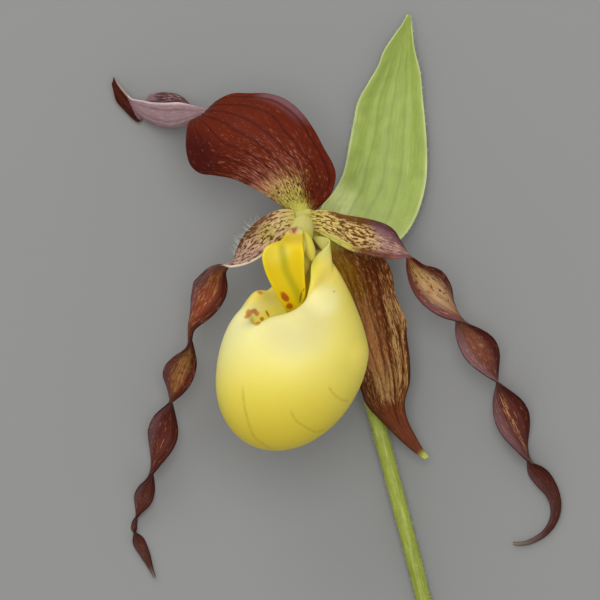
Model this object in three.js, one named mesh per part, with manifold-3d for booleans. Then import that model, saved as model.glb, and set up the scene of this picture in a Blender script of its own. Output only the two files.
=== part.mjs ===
// A slipper orchid flower (Cypripedium), picked with its bract and a length of stem, lying on its back.
//
// Millimetres. +X is to the right of the flower as it faces up at you, +Y runs along the stem towards the
// flower, +Z is up from the surface that it lies on. The origin is on that surface, under the middle of the
// flower's box. Organs are laid out round the hub, the top of the ovary, where all of them are attached.
import * as THREE from "three";
import { mergeVertices } from "three/addons/utils/BufferGeometryUtils.js";
import Module from "manifold-3d";

const wasm = await Module();
wasm.setup();

// ---- driving dimensions -------------------------------------------------------------------------------

const HUB_FROM_ORIGIN = { x: -6.71, y: 25.01 }; // where the hub stands over the surface
const CLEARANCE = 0.3; // gap that neighbouring organs keep where they meet
const STEM_RADIUS = 1.55;
const LIP_WALL = 0.9;
const PETAL_THICKNESS = 0.85;
const SEPAL_THICKNESS = 0.9;
const BRACT_THICKNESS = 0.8;
const STAMINODE_THICKNESS = 0.9;
const EDGE_THINNING = 0.28; // share of its thickness that a blade loses at its margins
const FULL_RELIEF_WIDTH = 5; // half width from which a leaf's pleats and waves have their full height
const STEP = 0.004; // share of a length over which a surface's slope is taken
const ROUGHNESS = 0.6;

const COLOURS = {
  stem: "#8a9a3c",
  bract: "#9bab58",
  ovary: "#8f9f48",
  sepal: "#5c2418",
  petal: "#6a3526",
  lip: "#e8df70",
  column: "#dcd98a",
  staminode: "#e2c81e",
  anther: "#d9cf7a",
  stigma: "#d8dca0",
};

// ---- smooth curves through stations -------------------------------------------------------------------

// The rows of a table of stations, read at a fraction 0..1 of its length by a Catmull-Rom curve.
// A closed table runs on from its last row to its first.
function stationAt(rows, fraction, closed = false) {
  const spans = closed ? rows.length : rows.length - 1;
  const place = THREE.MathUtils.clamp(fraction, 0, 1) * spans;
  const i = closed ? Math.floor(place) : Math.min(Math.floor(place), spans - 1);
  const t = place - i;
  const row = (k) =>
    closed
      ? rows[(k + 2 * rows.length) % rows.length]
      : rows[THREE.MathUtils.clamp(k, 0, rows.length - 1)];
  const [p0, p1, p2, p3] = [row(i - 1), row(i), row(i + 1), row(i + 2)];
  return p1.map((_, c) => {
    const m1 = (p2[c] - p0[c]) / 2;
    const m2 = (p3[c] - p1[c]) / 2;
    return hermite(p1[c], m1, p2[c], m2, t);
  });
}

// The cubic from a to b with end slopes ma and mb.
function hermite(a, ma, b, mb, t) {
  const t2 = t * t;
  const t3 = t2 * t;
  return (
    (2 * t3 - 3 * t2 + 1) * a + (t3 - 2 * t2 + t) * ma + (3 * t2 - 2 * t3) * b + (t3 - t2) * mb
  );
}

function hermiteVector(a, ma, b, mb, t) {
  return new THREE.Vector3(
    hermite(a.x, ma.x, b.x, mb.x, t),
    hermite(a.y, ma.y, b.y, mb.y, t),
    hermite(a.z, ma.z, b.z, mb.z, t),
  );
}

// ---- closed meshes and solids -------------------------------------------------------------------------

// A closed mesh from rows of points. wrap joins each row's last point to its first.
// Rows that are all one point close the end; other open ends get flat caps.
function meshOfRows(rows, wrap) {
  const width = rows[0].length;
  const vertices = rows.flat().flatMap((p) => [p.x, p.y, p.z]);
  const faces = [];
  const across = wrap ? width : width - 1;
  for (let i = 0; i + 1 < rows.length; i++) {
    for (let j = 0; j < across; j++) {
      const a = i * width + j;
      const b = i * width + ((j + 1) % width);
      faces.push(a, b, b + width, a, b + width, a + width);
    }
  }
  const last = (rows.length - 1) * width;
  for (let j = 1; j + 1 < width; j++) {
    faces.push(0, j + 1, j);
    faces.push(last, last + j, last + j + 1);
  }
  return closedGeometry(vertices, faces);
}

function closedGeometry(vertices, faces) {
  const geometry = new THREE.BufferGeometry();
  geometry.setAttribute("position", new THREE.Float32BufferAttribute(vertices, 3));
  geometry.setIndex(faces);
  return geometry;
}

// The solid of a closed mesh, turned the right way out.
function solidOf(geometry) {
  const merged = mergeVertices(geometry, 1e-4);
  const index = Array.from(merged.index.array);
  const kept = [];
  for (let i = 0; i < index.length; i += 3) {
    const [a, b, c] = index.slice(i, i + 3);
    if (a !== b && b !== c && c !== a) kept.push(a, b, c);
  }
  const vertProperties = merged.attributes.position.array;
  const made = new wasm.Manifold(
    new wasm.Mesh({ numProp: 3, vertProperties, triVerts: new Uint32Array(kept) }),
  );
  if (made.volume() > 0) return made;
  const turned = kept.map((_, i) => kept[i - (i % 3) + [0, 2, 1][i % 3]]);
  return new wasm.Manifold(
    new wasm.Mesh({ numProp: 3, vertProperties, triVerts: new Uint32Array(turned) }),
  );
}

function geometryOf(solid) {
  const { vertProperties, triVerts, numProp, numVert } = solid.getMesh();
  const vertices = [];
  for (let i = 0; i < numVert; i++) {
    vertices.push(...vertProperties.slice(i * numProp, i * numProp + 3));
  }
  return closedGeometry(vertices, Array.from(triVerts));
}

// The biggest body of a solid; scraps that a cut leaves loose are dropped.
function biggest(solid) {
  const bodies = solid.decompose();
  return bodies.reduce((best, body) => (body.volume() > best.volume() ? body : best));
}

// ---- blades: petals, sepals, bract and staminode --------------------------------------------------------

// A ribbon's middle surface. Each station is [x, y, z, half width, roll, cup]: the midrib's point, the half
// width there, the turn about the midrib and the angle that the ribbon bends through from midrib to margin,
// both in degrees. across runs from -1 to 1.
function ribbonSurface(ribbon, along, across) {
  const [x, y, z, halfWidth, roll, cup] = stationAt(ribbon.stations, along);
  const tangent = directionAt(ribbon.stations, along, 0);
  const level = new THREE.Vector3(tangent.y, -tangent.x, 0).normalize();
  const upright = new THREE.Vector3().crossVectors(level, tangent);
  const turn = THREE.MathUtils.degToRad(roll);
  const side = level.clone().multiplyScalar(Math.cos(turn)).addScaledVector(upright, Math.sin(turn));
  const face = upright.clone().multiplyScalar(Math.cos(turn)).addScaledVector(level, -Math.sin(turn));
  const bend = THREE.MathUtils.degToRad(cup);
  const curved = Math.abs(bend) > 1e-3;
  const out = curved ? Math.sin(bend * across) / bend : across;
  const lift = curved ? (1 - Math.cos(bend * across)) / bend : 0;
  return new THREE.Vector3(x, y, z)
    .addScaledVector(side, out * halfWidth)
    .addScaledVector(face, lift * halfWidth);
}

// A leaf's middle surface. Each row is [left margin, midrib, right margin], a point x, y, z each, and the
// leaf is a smooth curve through the three. Pleats and waves stand out along its face.
function leafSurface(leaf, along, across) {
  const row = stationAt(leaf.rows, along);
  const [left, midrib, right] = [0, 3, 6].map((k) => new THREE.Vector3(...row.slice(k, k + 3)));
  const chord = right.clone().sub(left);
  const rise = left.clone().add(right).multiplyScalar(0.5).sub(midrib);
  const face = new THREE.Vector3().crossVectors(chord, directionAt(leaf.rows, along, 3)).normalize();
  return midrib
    .addScaledVector(chord, across / 2)
    .addScaledVector(rise, across * across)
    .addScaledVector(face, leaf.relief(along, across, chord.length() / 2));
}

// The direction in which three columns of a table, from the one given, run on at a fraction of its length.
function directionAt(rows, fraction, column) {
  const before = stationAt(rows, fraction - STEP / 2);
  const after = stationAt(rows, fraction + STEP / 2);
  const run = [0, 1, 2].map((k) => after[column + k] - before[column + k]);
  return new THREE.Vector3(...run).normalize();
}

// A closed blade with a front and a back skin, both split into triangles alike. grow swells it all round.
function bladeGeometry(blade, grow = 0) {
  const { sections, strips, thickness } = blade;
  const surface = blade.rows ? leafSurface : ribbonSurface;
  const front = [];
  const back = [];
  const sideStep = 5 * STEP;
  for (let i = 0; i <= sections; i++) {
    for (let j = 0; j <= strips; j++) {
      const along = i / sections;
      const across = -1 + (2 * j) / strips;
      const point = surface(blade, along, across);
      const ahead = surface(blade, Math.min(1, along + STEP), across);
      const behind = surface(blade, Math.max(0, along - STEP), across);
      const right = surface(blade, along, across + sideStep);
      const left = surface(blade, along, across - sideStep);
      const ribward = ahead.sub(behind);
      const sideward = right.sub(left);
      const normal = new THREE.Vector3().crossVectors(sideward, ribward).normalize();
      const half = (thickness / 2) * (1 - EDGE_THINNING * across * across) + grow;
      point.addScaledVector(sideward.normalize(), grow * across);
      point.addScaledVector(ribward.normalize(), grow * pastEnd(i, sections));
      front.push(point.clone().addScaledVector(normal, half));
      back.push(point.clone().addScaledVector(normal, -half));
    }
  }
  const width = strips + 1;
  const count = front.length;
  const faces = [];
  const quad = (a, b, c, e) => faces.push(a, b, c, a, c, e);
  for (let i = 0; i < sections; i++) {
    for (let j = 0; j < strips; j++) {
      const a = i * width + j;
      faces.push(a, a + 1, a + width + 1, a, a + width + 1, a + width);
      const b = a + count;
      faces.push(b, b + width + 1, b + 1, b, b + width, b + width + 1);
    }
    const low = i * width;
    const high = low + strips;
    quad(low, low + width, low + width + count, low + count);
    quad(high, high + count, high + width + count, high + width);
  }
  for (let j = 0; j < strips; j++) {
    const end = sections * width + j;
    quad(j, j + count, j + 1 + count, j + 1);
    quad(end, end + 1, end + 1 + count, end + count);
  }
  return closedGeometry([...front, ...back].flatMap((p) => [p.x, p.y, p.z]), faces);
}

// -1 on a shape's first row, 1 on its last and 0 between them: the way that a swelled end moves.
function pastEnd(i, last) {
  return i === last ? 1 : i === 0 ? -1 : 0;
}

// Lengthwise veins as pleats, count of them over the width, that fade out towards both ends of the leaf.
function veins(count, height) {
  return (along, across, halfWidth) =>
    height *
    Math.min(1, halfWidth / FULL_RELIEF_WIDTH) *
    Math.sin(Math.PI * along) *
    Math.cos(Math.PI * count * across);
}

// Waves along the margins, out of step from one side to the other.
function waves(height, number) {
  return (along, across, halfWidth) =>
    height *
    Math.min(1, halfWidth / FULL_RELIEF_WIDTH) *
    Math.abs(across) ** 3 *
    Math.sin(2 * Math.PI * number * along + (across > 0 ? 0 : 2));
}

function together(...reliefs) {
  return (...where) => reliefs.reduce((sum, relief) => sum + relief(...where), 0);
}

const DORSAL_SEPAL = {
  thickness: SEPAL_THICKNESS,
  sections: 42,
  strips: 12,
  relief: together(veins(6, 0.09), waves(0.3, 4)),
  rows: [
    [-1.8, 1.4, 20.2, -0.1, 1.8, 20.7, 1.6, 1.6, 20.2],
    [-3.8, 2.8, 20.4, -0.4, 3.8, 21.4, 3.6, 3.4, 20.4],
    [-5.4, 3.8, 20.8, -0.8, 6.0, 22.6, 5.6, 5.8, 20.6],
    [-7.6, 5.4, 21.4, -2.0, 8.8, 24.2, 6.5, 9.0, 21.0],
    [-10.6, 7.2, 21.6, -4.0, 11.4, 25.6, 6.0, 11.4, 22.0],
    [-14.2, 8.8, 21.4, -6.4, 13.6, 26.4, 4.2, 14.6, 22.8],
    [-17.8, 9.4, 21.0, -9.0, 15.6, 26.8, 2.2, 18.4, 23.0],
    [-20.6, 9.8, 20.4, -11.6, 17.2, 26.6, -0.4, 22.0, 22.6],
    [-22.6, 11.6, 19.8, -14.0, 18.6, 25.6, -3.4, 24.4, 22.0],
    [-23.4, 14.6, 19.4, -16.0, 19.8, 24.0, -7.0, 25.6, 21.2],
    [-23.3, 17.2, 19.0, -17.8, 20.6, 22.0, -10.6, 25.8, 20.2],
    [-22.8, 19.2, 18.0, -19.4, 21.0, 19.6, -14.2, 25.8, 19.0],
    [-22.2, 20.2, 16.0, -20.0, 21.4, 16.6, -17.2, 24.2, 17.0],
    [-21.0, 20.8, 13.8, -20.0, 21.4, 13.8, -18.6, 22.6, 14.2],
    [-19.4, 22.8, 12.2, -20.2, 21.6, 11.0, -19.0, 22.6, 9.0],
    [-21.9, 23.5, 11.4, -22.6, 20.0, 9.0, -21.4, 22.6, 6.8],
    [-24.8, 24.0, 9.4, -25.2, 19.2, 6.2, -24.4, 25.4, 3.8],
    [-27.6, 23.8, 8.0, -28.0, 19.3, 4.2, -27.4, 26.2, 2.4],
    [-30.2, 23.9, 6.2, -30.6, 20.2, 2.9, -30.4, 25.8, 1.3],
    [-32.2, 24.4, 4.8, -32.2, 21.2, 2.3, -31.6, 24.2, 0.8],
    [-33.4, 24.7, 4.0, -33.0, 21.8, 2.3, -32.0, 22.0, 0.7],
    [-34.6, 25.1, 3.4, -33.9, 22.5, 1.8, -33.0, 19.8, 0.5],
    [-36.2, 26.8, 3.0, -36.0, 24.4, 1.5, -36.0, 22.4, 0.6],
    [-37.3, 28.2, 3.0, -37.5, 26.2, 1.9, -37.7, 24.4, 1.2],
    [-38.0, 29.3, 3.3, -38.2, 28.5, 2.9, -38.4, 27.7, 2.5],
  ],
};

const SYNSEPAL = {
  thickness: SEPAL_THICKNESS,
  sections: 28,
  strips: 10,
  relief: together(veins(5, 0.2), waves(0.4, 5)),
  rows: [
    [0.4, -2.2, 19.4, 1.8, -1.6, 20.0, 3.4, -0.9, 19.6],
    [1.8, -4.8, 17.8, 4.8, -3.8, 18.4, 8.4, -2.6, 17.4],
    [2.2, -9.2, 15.4, 8.4, -8.0, 16.0, 15.0, -6.0, 14.6],
    [3.8, -14.0, 12.8, 10.4, -12.2, 13.6, 17.6, -9.6, 12.2],
    [6.0, -18.8, 10.8, 12.2, -17.2, 11.6, 18.6, -14.8, 10.4],
    [7.6, -23.2, 9.6, 13.6, -21.8, 10.2, 20.6, -19.2, 9.4],
    [9.2, -26.8, 8.6, 14.8, -25.6, 9.3, 20.8, -22.8, 8.2],
    [10.8, -30.8, 7.8, 16.0, -29.8, 8.5, 21.4, -27.6, 7.6],
    [11.6, -33.6, 7.0, 16.8, -33.4, 7.8, 21.4, -32.0, 7.0],
    [12.8, -36.6, 6.4, 17.6, -36.8, 7.1, 20.4, -36.0, 6.6],
    [16.2, -40.4, 5.9, 19.0, -40.4, 6.4, 21.0, -39.6, 6.1],
    [19.4, -43.6, 5.3, 21.0, -43.2, 5.7, 22.4, -42.6, 5.5],
    [22.2, -46.0, 4.6, 23.0, -45.6, 4.9, 23.8, -45.0, 4.8],
    [24.4, -47.5, 4.1, 24.8, -47.3, 4.2, 25.3, -47.1, 4.1],
  ],
};

const BRACT = {
  thickness: BRACT_THICKNESS,
  sections: 26,
  strips: 14,
  relief: together(veins(7, 0.13), waves(0.2, 5)),
  rows: [
    [5.0, -7.2, 6.4, 6.8, -8.0, 5.4, 8.8, -7.2, 6.4],
    [3.4, -4.0, 5.6, 9.4, -5.0, 3.2, 14.6, -6.0, 5.2],
    [2.8, 0.0, 4.2, 11.8, -1.6, 1.8, 19.0, -3.8, 4.0],
    [4.0, 3.6, 3.2, 13.6, 2.0, 1.0, 21.6, -1.0, 3.2],
    [6.2, 6.2, 2.8, 15.0, 5.6, 0.6, 23.6, 3.4, 2.8],
    [8.2, 10.2, 2.4, 16.2, 10.2, 0.4, 24.8, 8.8, 2.4],
    [9.3, 15.8, 2.2, 17.0, 15.0, 0.3, 24.9, 14.8, 2.2],
    [10.2, 20.4, 2.2, 17.6, 20.0, 0.3, 24.5, 20.6, 2.2],
    [11.0, 24.2, 2.2, 18.2, 24.8, 0.4, 24.0, 25.6, 2.2],
    [13.2, 28.2, 2.4, 18.8, 28.8, 0.7, 23.6, 29.8, 2.4],
    [15.0, 31.2, 2.7, 19.4, 31.8, 1.2, 22.9, 32.8, 2.7],
    [16.2, 34.4, 3.1, 20.0, 34.8, 1.9, 22.3, 35.4, 3.1],
    [18.2, 37.4, 3.6, 20.4, 37.6, 2.8, 22.0, 38.0, 3.6],
    [19.8, 39.6, 4.2, 21.0, 39.8, 3.8, 21.8, 40.4, 4.2],
    [21.0, 41.7, 4.8, 21.2, 41.8, 4.8, 21.5, 41.7, 4.8],
  ],
};

const LEFT_PETAL = {
  thickness: PETAL_THICKNESS,
  sections: 74,
  strips: 4,
  stations: [
    [-1.6, 0.4, 21.9, 1.9, 0, 6],
    [-4.0, 0.0, 22.3, 2.6, -4, 10],
    [-6.5, -1.6, 22.2, 3.0, -6, 14],
    [-8.8, -3.7, 21.4, 3.1, -12, 18],
    [-11.4, -6.2, 19.9, 3.0, -40, 20],
    [-13.6, -7.7, 18.6, 3.0, -68, 16],
    [-15.0, -8.4, 17.7, 3.0, -94, 14],
    [-17.3, -10.2, 16.4, 3.3, -124, 16],
    [-18.7, -13.6, 15.0, 3.6, -176, 18],
    [-20.8, -17.2, 13.3, 3.5, -220, 16],
    [-22.6, -20.8, 12.0, 2.9, -256, 14],
    [-22.9, -24.4, 10.8, 2.8, -274, 12],
    [-23.9, -27.2, 9.9, 3.1, -318, 14],
    [-24.8, -30.0, 9.0, 3.2, -360, 16],
    [-25.6, -33.0, 8.1, 3.2, -405, 14],
    [-26.6, -36.0, 7.2, 3.0, -450, 12],
    [-27.6, -39.4, 6.3, 3.0, -500, 14],
    [-28.2, -42.8, 5.5, 3.1, -540, 16],
    [-29.4, -46.6, 4.4, 2.7, -588, 14],
    [-30.6, -50.4, 3.3, 2.2, -630, 12],
    [-31.5, -53.2, 2.5, 2.1, -680, 12],
    [-32.1, -55.6, 1.9, 1.9, -725, 12],
    [-32.9, -57.8, 1.4, 1.4, -775, 10],
    [-33.5, -59.4, 1.0, 0.9, -815, 6],
    [-33.9, -60.8, 0.8, 0.6, -880, 4],
    [-33.9, -62.0, 0.8, 0.8, -970, 6],
    [-33.1, -64.0, 0.8, 1.3, -1055, 8],
    [-31.7, -66.8, 0.8, 1.0, -1080, 8],
    [-30.6, -69.4, 0.8, 0.5, -1085, 4],
    [-29.8, -71.3, 0.8, 0.25, -1085, 0],
  ],
};

const RIGHT_PETAL = {
  thickness: PETAL_THICKNESS,
  sections: 70,
  strips: 4,
  stations: [
    [1.4, 0.4, 21.9, 1.9, 0, 6],
    [4.2, 0.0, 22.4, 2.5, 0, 10],
    [7.0, -1.2, 22.5, 2.9, 4, 14],
    [11.0, -2.6, 21.9, 3.6, 6, 16],
    [15.0, -3.6, 20.7, 3.6, 15, 18],
    [18.2, -5.0, 19.2, 3.4, 44, 16],
    [21.0, -6.6, 17.8, 3.3, 88, 14],
    [22.9, -9.5, 16.2, 3.6, 126, 16],
    [25.5, -12.7, 14.4, 3.75, 172, 18],
    [28.6, -15.8, 12.4, 3.7, 216, 16],
    [31.4, -18.9, 10.6, 3.3, 268, 14],
    [33.2, -21.8, 9.6, 3.4, 315, 16],
    [35.4, -25.3, 8.5, 3.6, 360, 18],
    [37.4, -28.7, 7.4, 3.4, 405, 16],
    [39.0, -32.0, 6.4, 3.1, 450, 14],
    [40.3, -35.4, 5.7, 3.4, 495, 16],
    [42.1, -39.5, 4.8, 3.6, 540, 18],
    [44.0, -44.0, 3.9, 3.0, 590, 14],
    [45.5, -47.6, 2.6, 2.2, 630, 12],
    [46.8, -49.8, 2.1, 2.1, 678, 12],
    [48.7, -52.2, 1.7, 1.8, 715, 14],
    [50.2, -54.6, 1.3, 1.4, 725, 14],
    [50.8, -57.4, 1.0, 1.1, 730, 12],
    [50.2, -60.2, 0.8, 0.85, 735, 8],
    [48.4, -62.6, 0.8, 0.65, 740, 6],
    [45.6, -64.2, 0.8, 0.5, 740, 4],
    [43.4, -64.6, 0.8, 0.35, 740, 0],
    [42.2, -64.4, 0.8, 0.25, 740, 0],
  ],
};

const STAMINODE = {
  thickness: STAMINODE_THICKNESS,
  sections: 22,
  strips: 6,
  relief: () => 0,
  rows: [
    [-2.4, -1.6, 33.6, -1.3, -1.5, 33.4, -0.2, -1.6, 33.6],
    [-3.1, -2.0, 35.6, -1.6, -2.0, 35.3, 0.0, -2.0, 35.6],
    [-3.8, -2.8, 37.0, -2.0, -2.8, 36.6, 0.0, -2.6, 37.0],
    [-4.6, -3.9, 38.1, -2.8, -3.8, 37.4, 0.0, -3.6, 38.0],
    [-6.6, -4.6, 39.0, -3.6, -4.7, 37.9, 0.0, -4.7, 38.7],
    [-7.7, -5.6, 39.5, -3.8, -5.8, 38.1, 0.1, -5.8, 39.2],
    [-8.1, -7.2, 39.6, -3.7, -7.3, 38.0, 0.2, -7.2, 39.4],
    [-7.7, -9.3, 39.1, -3.4, -9.3, 37.5, 0.2, -9.2, 39.0],
    [-6.9, -11.4, 38.3, -2.7, -11.4, 36.9, 0.3, -11.4, 38.3],
    [-5.9, -13.4, 37.4, -1.9, -13.4, 36.2, 0.4, -13.4, 37.5],
    [-5.0, -15.2, 36.4, -1.5, -15.2, 35.5, 0.3, -15.2, 36.5],
    [-4.0, -16.8, 35.4, -1.5, -16.8, 34.8, -0.2, -16.8, 35.6],
    [-3.0, -18.3, 34.3, -1.7, -18.3, 34.0, -0.7, -18.3, 34.5],
    [-2.0, -19.6, 33.4, -1.7, -19.6, 33.3, -1.2, -19.6, 33.5],
  ],
};

// ---- stalks: stem, ovary, column and anthers ------------------------------------------------------------

// A closed stalk along stations [x, y, z, radius]. ribs ridges its surface ribHeight high; grow swells it.
function stalkGeometry({ stations, sections, sides, ribs = 0, ribHeight = 0 }, grow = 0) {
  const rows = [];
  for (let i = 0; i <= sections; i++) {
    const along = i / sections;
    const [x, y, z, radius] = stationAt(stations, along);
    const before = stationAt(stations, Math.max(0, along - 2 * STEP));
    const after = stationAt(stations, Math.min(1, along + 2 * STEP));
    const tangent = new THREE.Vector3(
      after[0] - before[0],
      after[1] - before[1],
      after[2] - before[2],
    ).normalize();
    const side = new THREE.Vector3(1, 0, 0).addScaledVector(tangent, -tangent.x).normalize();
    const up = new THREE.Vector3().crossVectors(side, tangent);
    const row = [];
    for (let j = 0; j < sides; j++) {
      const angle = (2 * Math.PI * j) / sides;
      const ridge = ribHeight * Math.cos(ribs * angle) * Math.sin(Math.PI * along);
      const reach = radius + ridge + grow;
      row.push(
        new THREE.Vector3(x, y, z)
          .addScaledVector(tangent, grow * pastEnd(i, sections))
          .addScaledVector(side, reach * Math.cos(angle))
          .addScaledVector(up, reach * Math.sin(angle)),
      );
    }
    rows.push(row);
  }
  return meshOfRows(rows, true);
}

const STEM = {
  sections: 22,
  sides: 10,
  stations: [
    [28.4, -91.6, 1.4, STEM_RADIUS],
    [26.4, -84.0, 1.4, STEM_RADIUS],
    [24.2, -75.6, 1.5, STEM_RADIUS],
    [22.0, -66.8, 1.7, STEM_RADIUS],
    [19.8, -58.4, 1.9, STEM_RADIUS],
    [17.8, -50.8, 2.1, STEM_RADIUS],
    [16.0, -44.0, 2.4, STEM_RADIUS],
    [14.3, -37.6, 2.8, STEM_RADIUS],
    [12.5, -30.8, 3.4, STEM_RADIUS],
    [10.7, -23.8, 4.2, 1.6],
    [9.0, -17.2, 5.3, 1.6],
    [7.4, -11.2, 6.8, 1.65],
    [6.4, -7.4, 8.4, 1.7],
  ],
};

const OVARY = {
  sections: 16,
  sides: 18,
  ribs: 6,
  ribHeight: 0.28,
  stations: [
    [6.15, -6.6, 8.9, 1.7],
    [5.2, -4.6, 10.9, 2.0],
    [3.5, -2.6, 13.8, 2.3],
    [1.7, -0.9, 16.9, 2.3],
    [0.5, -0.1, 19.2, 2.3],
    [0.1, 0.0, 20.6, 2.7],
    [0.0, 0.0, 21.2, 2.5],
    [0.0, 0.0, 21.5, 1.8],
  ],
};

const COLUMN = {
  sections: 12,
  sides: 14,
  stations: [
    [0.0, -0.3, 21.9, 1.7],
    [0.0, -0.6, 22.8, 2.1],
    [-0.2, -1.6, 25.5, 2.3],
    [-0.5, -2.8, 28.5, 2.4],
    [-0.6, -3.8, 31.2, 2.4],
    [-0.6, -4.6, 33.4, 2.3],
    [-0.6, -5.0, 35.0, 1.9],
    [-0.6, -5.2, 36.0, 1.2],
  ],
};

const ANTHERS = {
  anther_left: [
    [-1.6, -4.6, 33.4, 0.6],
    [-2.6, -5.8, 33.8, 1.2],
    [-3.2, -7.4, 34.1, 1.3],
    [-3.3, -9.0, 34.2, 1.1],
    [-3.2, -10.0, 34.2, 0.5],
  ],
  anther_right: [
    [0.2, -2.4, 33.6, 0.7],
    [0.7, -3.5, 34.3, 1.0],
    [1.1, -4.8, 34.8, 1.15],
    [1.5, -6.2, 35.0, 1.05],
    [1.7, -7.4, 35.0, 0.55],
  ],
};

const STIGMA = [
  [-0.2, -6.0, 30.0, 0.8],
  [-0.5, -7.2, 30.2, 2.0],
  [-0.8, -8.8, 30.5, 2.4],
  [-1.2, -10.4, 30.7, 1.8],
  [-1.4, -11.4, 30.8, 0.7],
];

// ---- lip: the pouch ---------------------------------------------------------------------------------------

// Loops of 16 points round the pouch, from the toe by the near side to the heel and back by the far side.
// The ridge is the highest line of the wall, where it turns inwards; the margin is the free edge beyond it.
const LIP = {
  around: 32,
  wallRows: 7,
  bellyRows: 7,
  foldRows: 4,
  belly: { x: -2.1, y: -28.1, z: 30, halfLength: 15.2, halfDepth: 13.5, tilt: 1.5 },
  bottom: { x: -4.1, y: -45.65, z: 29.0 },
  mouth: { x: -3.5, z: 31 },
  riseFromBelly: { x: 0.8, y: 13, z: 0 },
  turnBelowRidge: 9.5,
  turnAtRidge: 4.5,
  heelTurn: 0.44,
  heelSpread: 0.17,
  heelShoulder: { x: -0.95, y: 0, z: 0 },
  longestPull: 1.3,
  fallToMargin: 0.9,
  marginThinning: 0.3,
  ridge: [
    [-11.6, -18.0, 31.5],
    [-11.0, -20.0, 35.0],
    [-9.0, -20.3, 38.2],
    [-6.0, -18.9, 40.2],
    [-3.2, -18.2, 41.0],
    [-0.6, -16.8, 40.5],
    [2.5, -13.9, 38.2],
    [5.1, -12.2, 34.5],
    [5.9, -8.4, 29.0],
    [2.6, -5.2, 24.6],
    [-0.2, -7.2, 22.2],
    [-2.8, -9.2, 21.6],
    [-4.8, -11.0, 22.6],
    [-6.8, -13.5, 24.2],
    [-9.2, -13.8, 26.2],
    [-10.6, -16.2, 28.6],
  ],
  margin: [
    [-9.6, -20.6, 31.4],
    [-9.0, -22.0, 33.4],
    [-7.6, -22.6, 35.6],
    [-5.0, -21.6, 37.4],
    [-2.4, -19.6, 38.0],
    [0.2, -16.4, 37.8],
    [1.4, -12.0, 36.2],
    [2.0, -7.6, 32.4],
    [5.4, -4.0, 28.8],
    [3.1, -2.9, 24.4],
    [0.2, -4.0, 23.2],
    [-1.4, -6.4, 24.4],
    [-1.6, -15.2, 25.0],
    [-3.2, -18.8, 26.0],
    [-5.4, -20.2, 27.6],
    [-7.6, -20.8, 29.8],
  ],
};

// How near a turn is to the heel, 0..1.
function heelAt(turn) {
  return Math.exp(-(((turn - LIP.heelTurn) / LIP.heelSpread) ** 4));
}

// The way that the fold leaves the ridge: level over the mouth, or straight on at the heel.
function leanAtRidge(turn, ridge, margin) {
  const inwards = new THREE.Vector3(LIP.mouth.x, ridge.y, LIP.mouth.z).sub(ridge).normalize();
  const fold = margin.clone().sub(ridge);
  const pull = Math.min(LIP.turnAtRidge, LIP.longestPull * fold.length());
  return inwards.lerp(fold.normalize(), heelAt(turn)).setLength(pull);
}

// The pouch's outer skin: level runs 0..1 up the belly, 1..2 up the wall to the ridge, 2..3 over the fold.
function lipSurface(level, turn) {
  const { belly, bottom } = LIP;
  const angle = 2 * Math.PI * turn;
  const reach = new THREE.Vector3(
    -belly.halfLength * Math.cos(angle),
    -belly.tilt * Math.cos(angle),
    belly.halfDepth * Math.sin(angle),
  );
  const centre = new THREE.Vector3(belly.x, belly.y, belly.z);
  if (level <= 1) {
    const climb = (Math.PI / 2) * (1 - level);
    const down = new THREE.Vector3(bottom.x, bottom.y, bottom.z).sub(centre);
    return centre.addScaledVector(down, Math.sin(climb)).addScaledVector(reach, Math.cos(climb));
  }
  const ridge = new THREE.Vector3(...stationAt(LIP.ridge, turn, true));
  const margin = new THREE.Vector3(...stationAt(LIP.margin, turn, true));
  const lean = leanAtRidge(turn, ridge, margin);
  if (level <= 2) {
    const shoulder = lean.normalize().addScaledVector(LIP.heelShoulder, heelAt(turn));
    shoulder.setLength(LIP.turnBelowRidge);
    return hermiteVector(centre.add(reach), LIP.riseFromBelly, ridge, shoulder, level - 1);
  }
  const fall = margin.clone().sub(ridge).multiplyScalar(LIP.fallToMargin);
  return hermiteVector(ridge, lean, margin, fall, level - 2);
}

// The pouch as one closed wall: its outer skin up to the margin, and the skin inside it back down.
// grow swells the wall on both sides and past its margin.
function lipGeometry(grow = 0) {
  const levels = [];
  for (let i = 1; i <= LIP.bellyRows; i++) levels.push(i / LIP.bellyRows);
  for (let i = 1; i <= LIP.wallRows; i++) levels.push(1 + i / LIP.wallRows);
  for (let i = 1; i <= LIP.foldRows; i++) levels.push(2 + i / LIP.foldRows);
  const step = 2 * STEP;
  const skin = (inset) =>
    levels.map((level) => {
      const row = [];
      for (let j = 0; j < LIP.around; j++) {
        const turn = j / LIP.around;
        const high = lipSurface(Math.min(3, level + step), turn);
        const low = lipSurface(level - step, turn);
        const next = lipSurface(level, (turn + step) % 1);
        const last = lipSurface(level, (turn - step + 1) % 1);
        const normal = new THREE.Vector3().crossVectors(next.sub(last), high.sub(low)).normalize();
        const thin = inset > 0 ? 1 - LIP.marginThinning * Math.max(0, level - 2) : 1;
        row.push(lipSurface(level, turn).addScaledVector(normal, -inset * thin));
      }
      return row;
    });
  const pole = new THREE.Vector3(LIP.bottom.x, LIP.bottom.y, LIP.bottom.z);
  const poleRow = (inset) => Array(LIP.around).fill(pole.clone().add(new THREE.Vector3(0, inset, 0)));
  const pastMargin = (rows) => {
    const [before, last] = rows.slice(-2);
    const reach = (p, j) => p.clone().sub(before[j]).setLength(grow).add(p);
    return grow > 0 ? [...rows, last.map(reach)] : rows;
  };
  const outside = [poleRow(-grow), ...pastMargin(skin(-grow))];
  const inside = [poleRow(LIP_WALL + grow), ...pastMargin(skin(LIP_WALL + grow))].reverse();
  return meshOfRows([...outside, ...inside], true);
}

// ---- cutting and assembly -----------------------------------------------------------------------------

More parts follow.
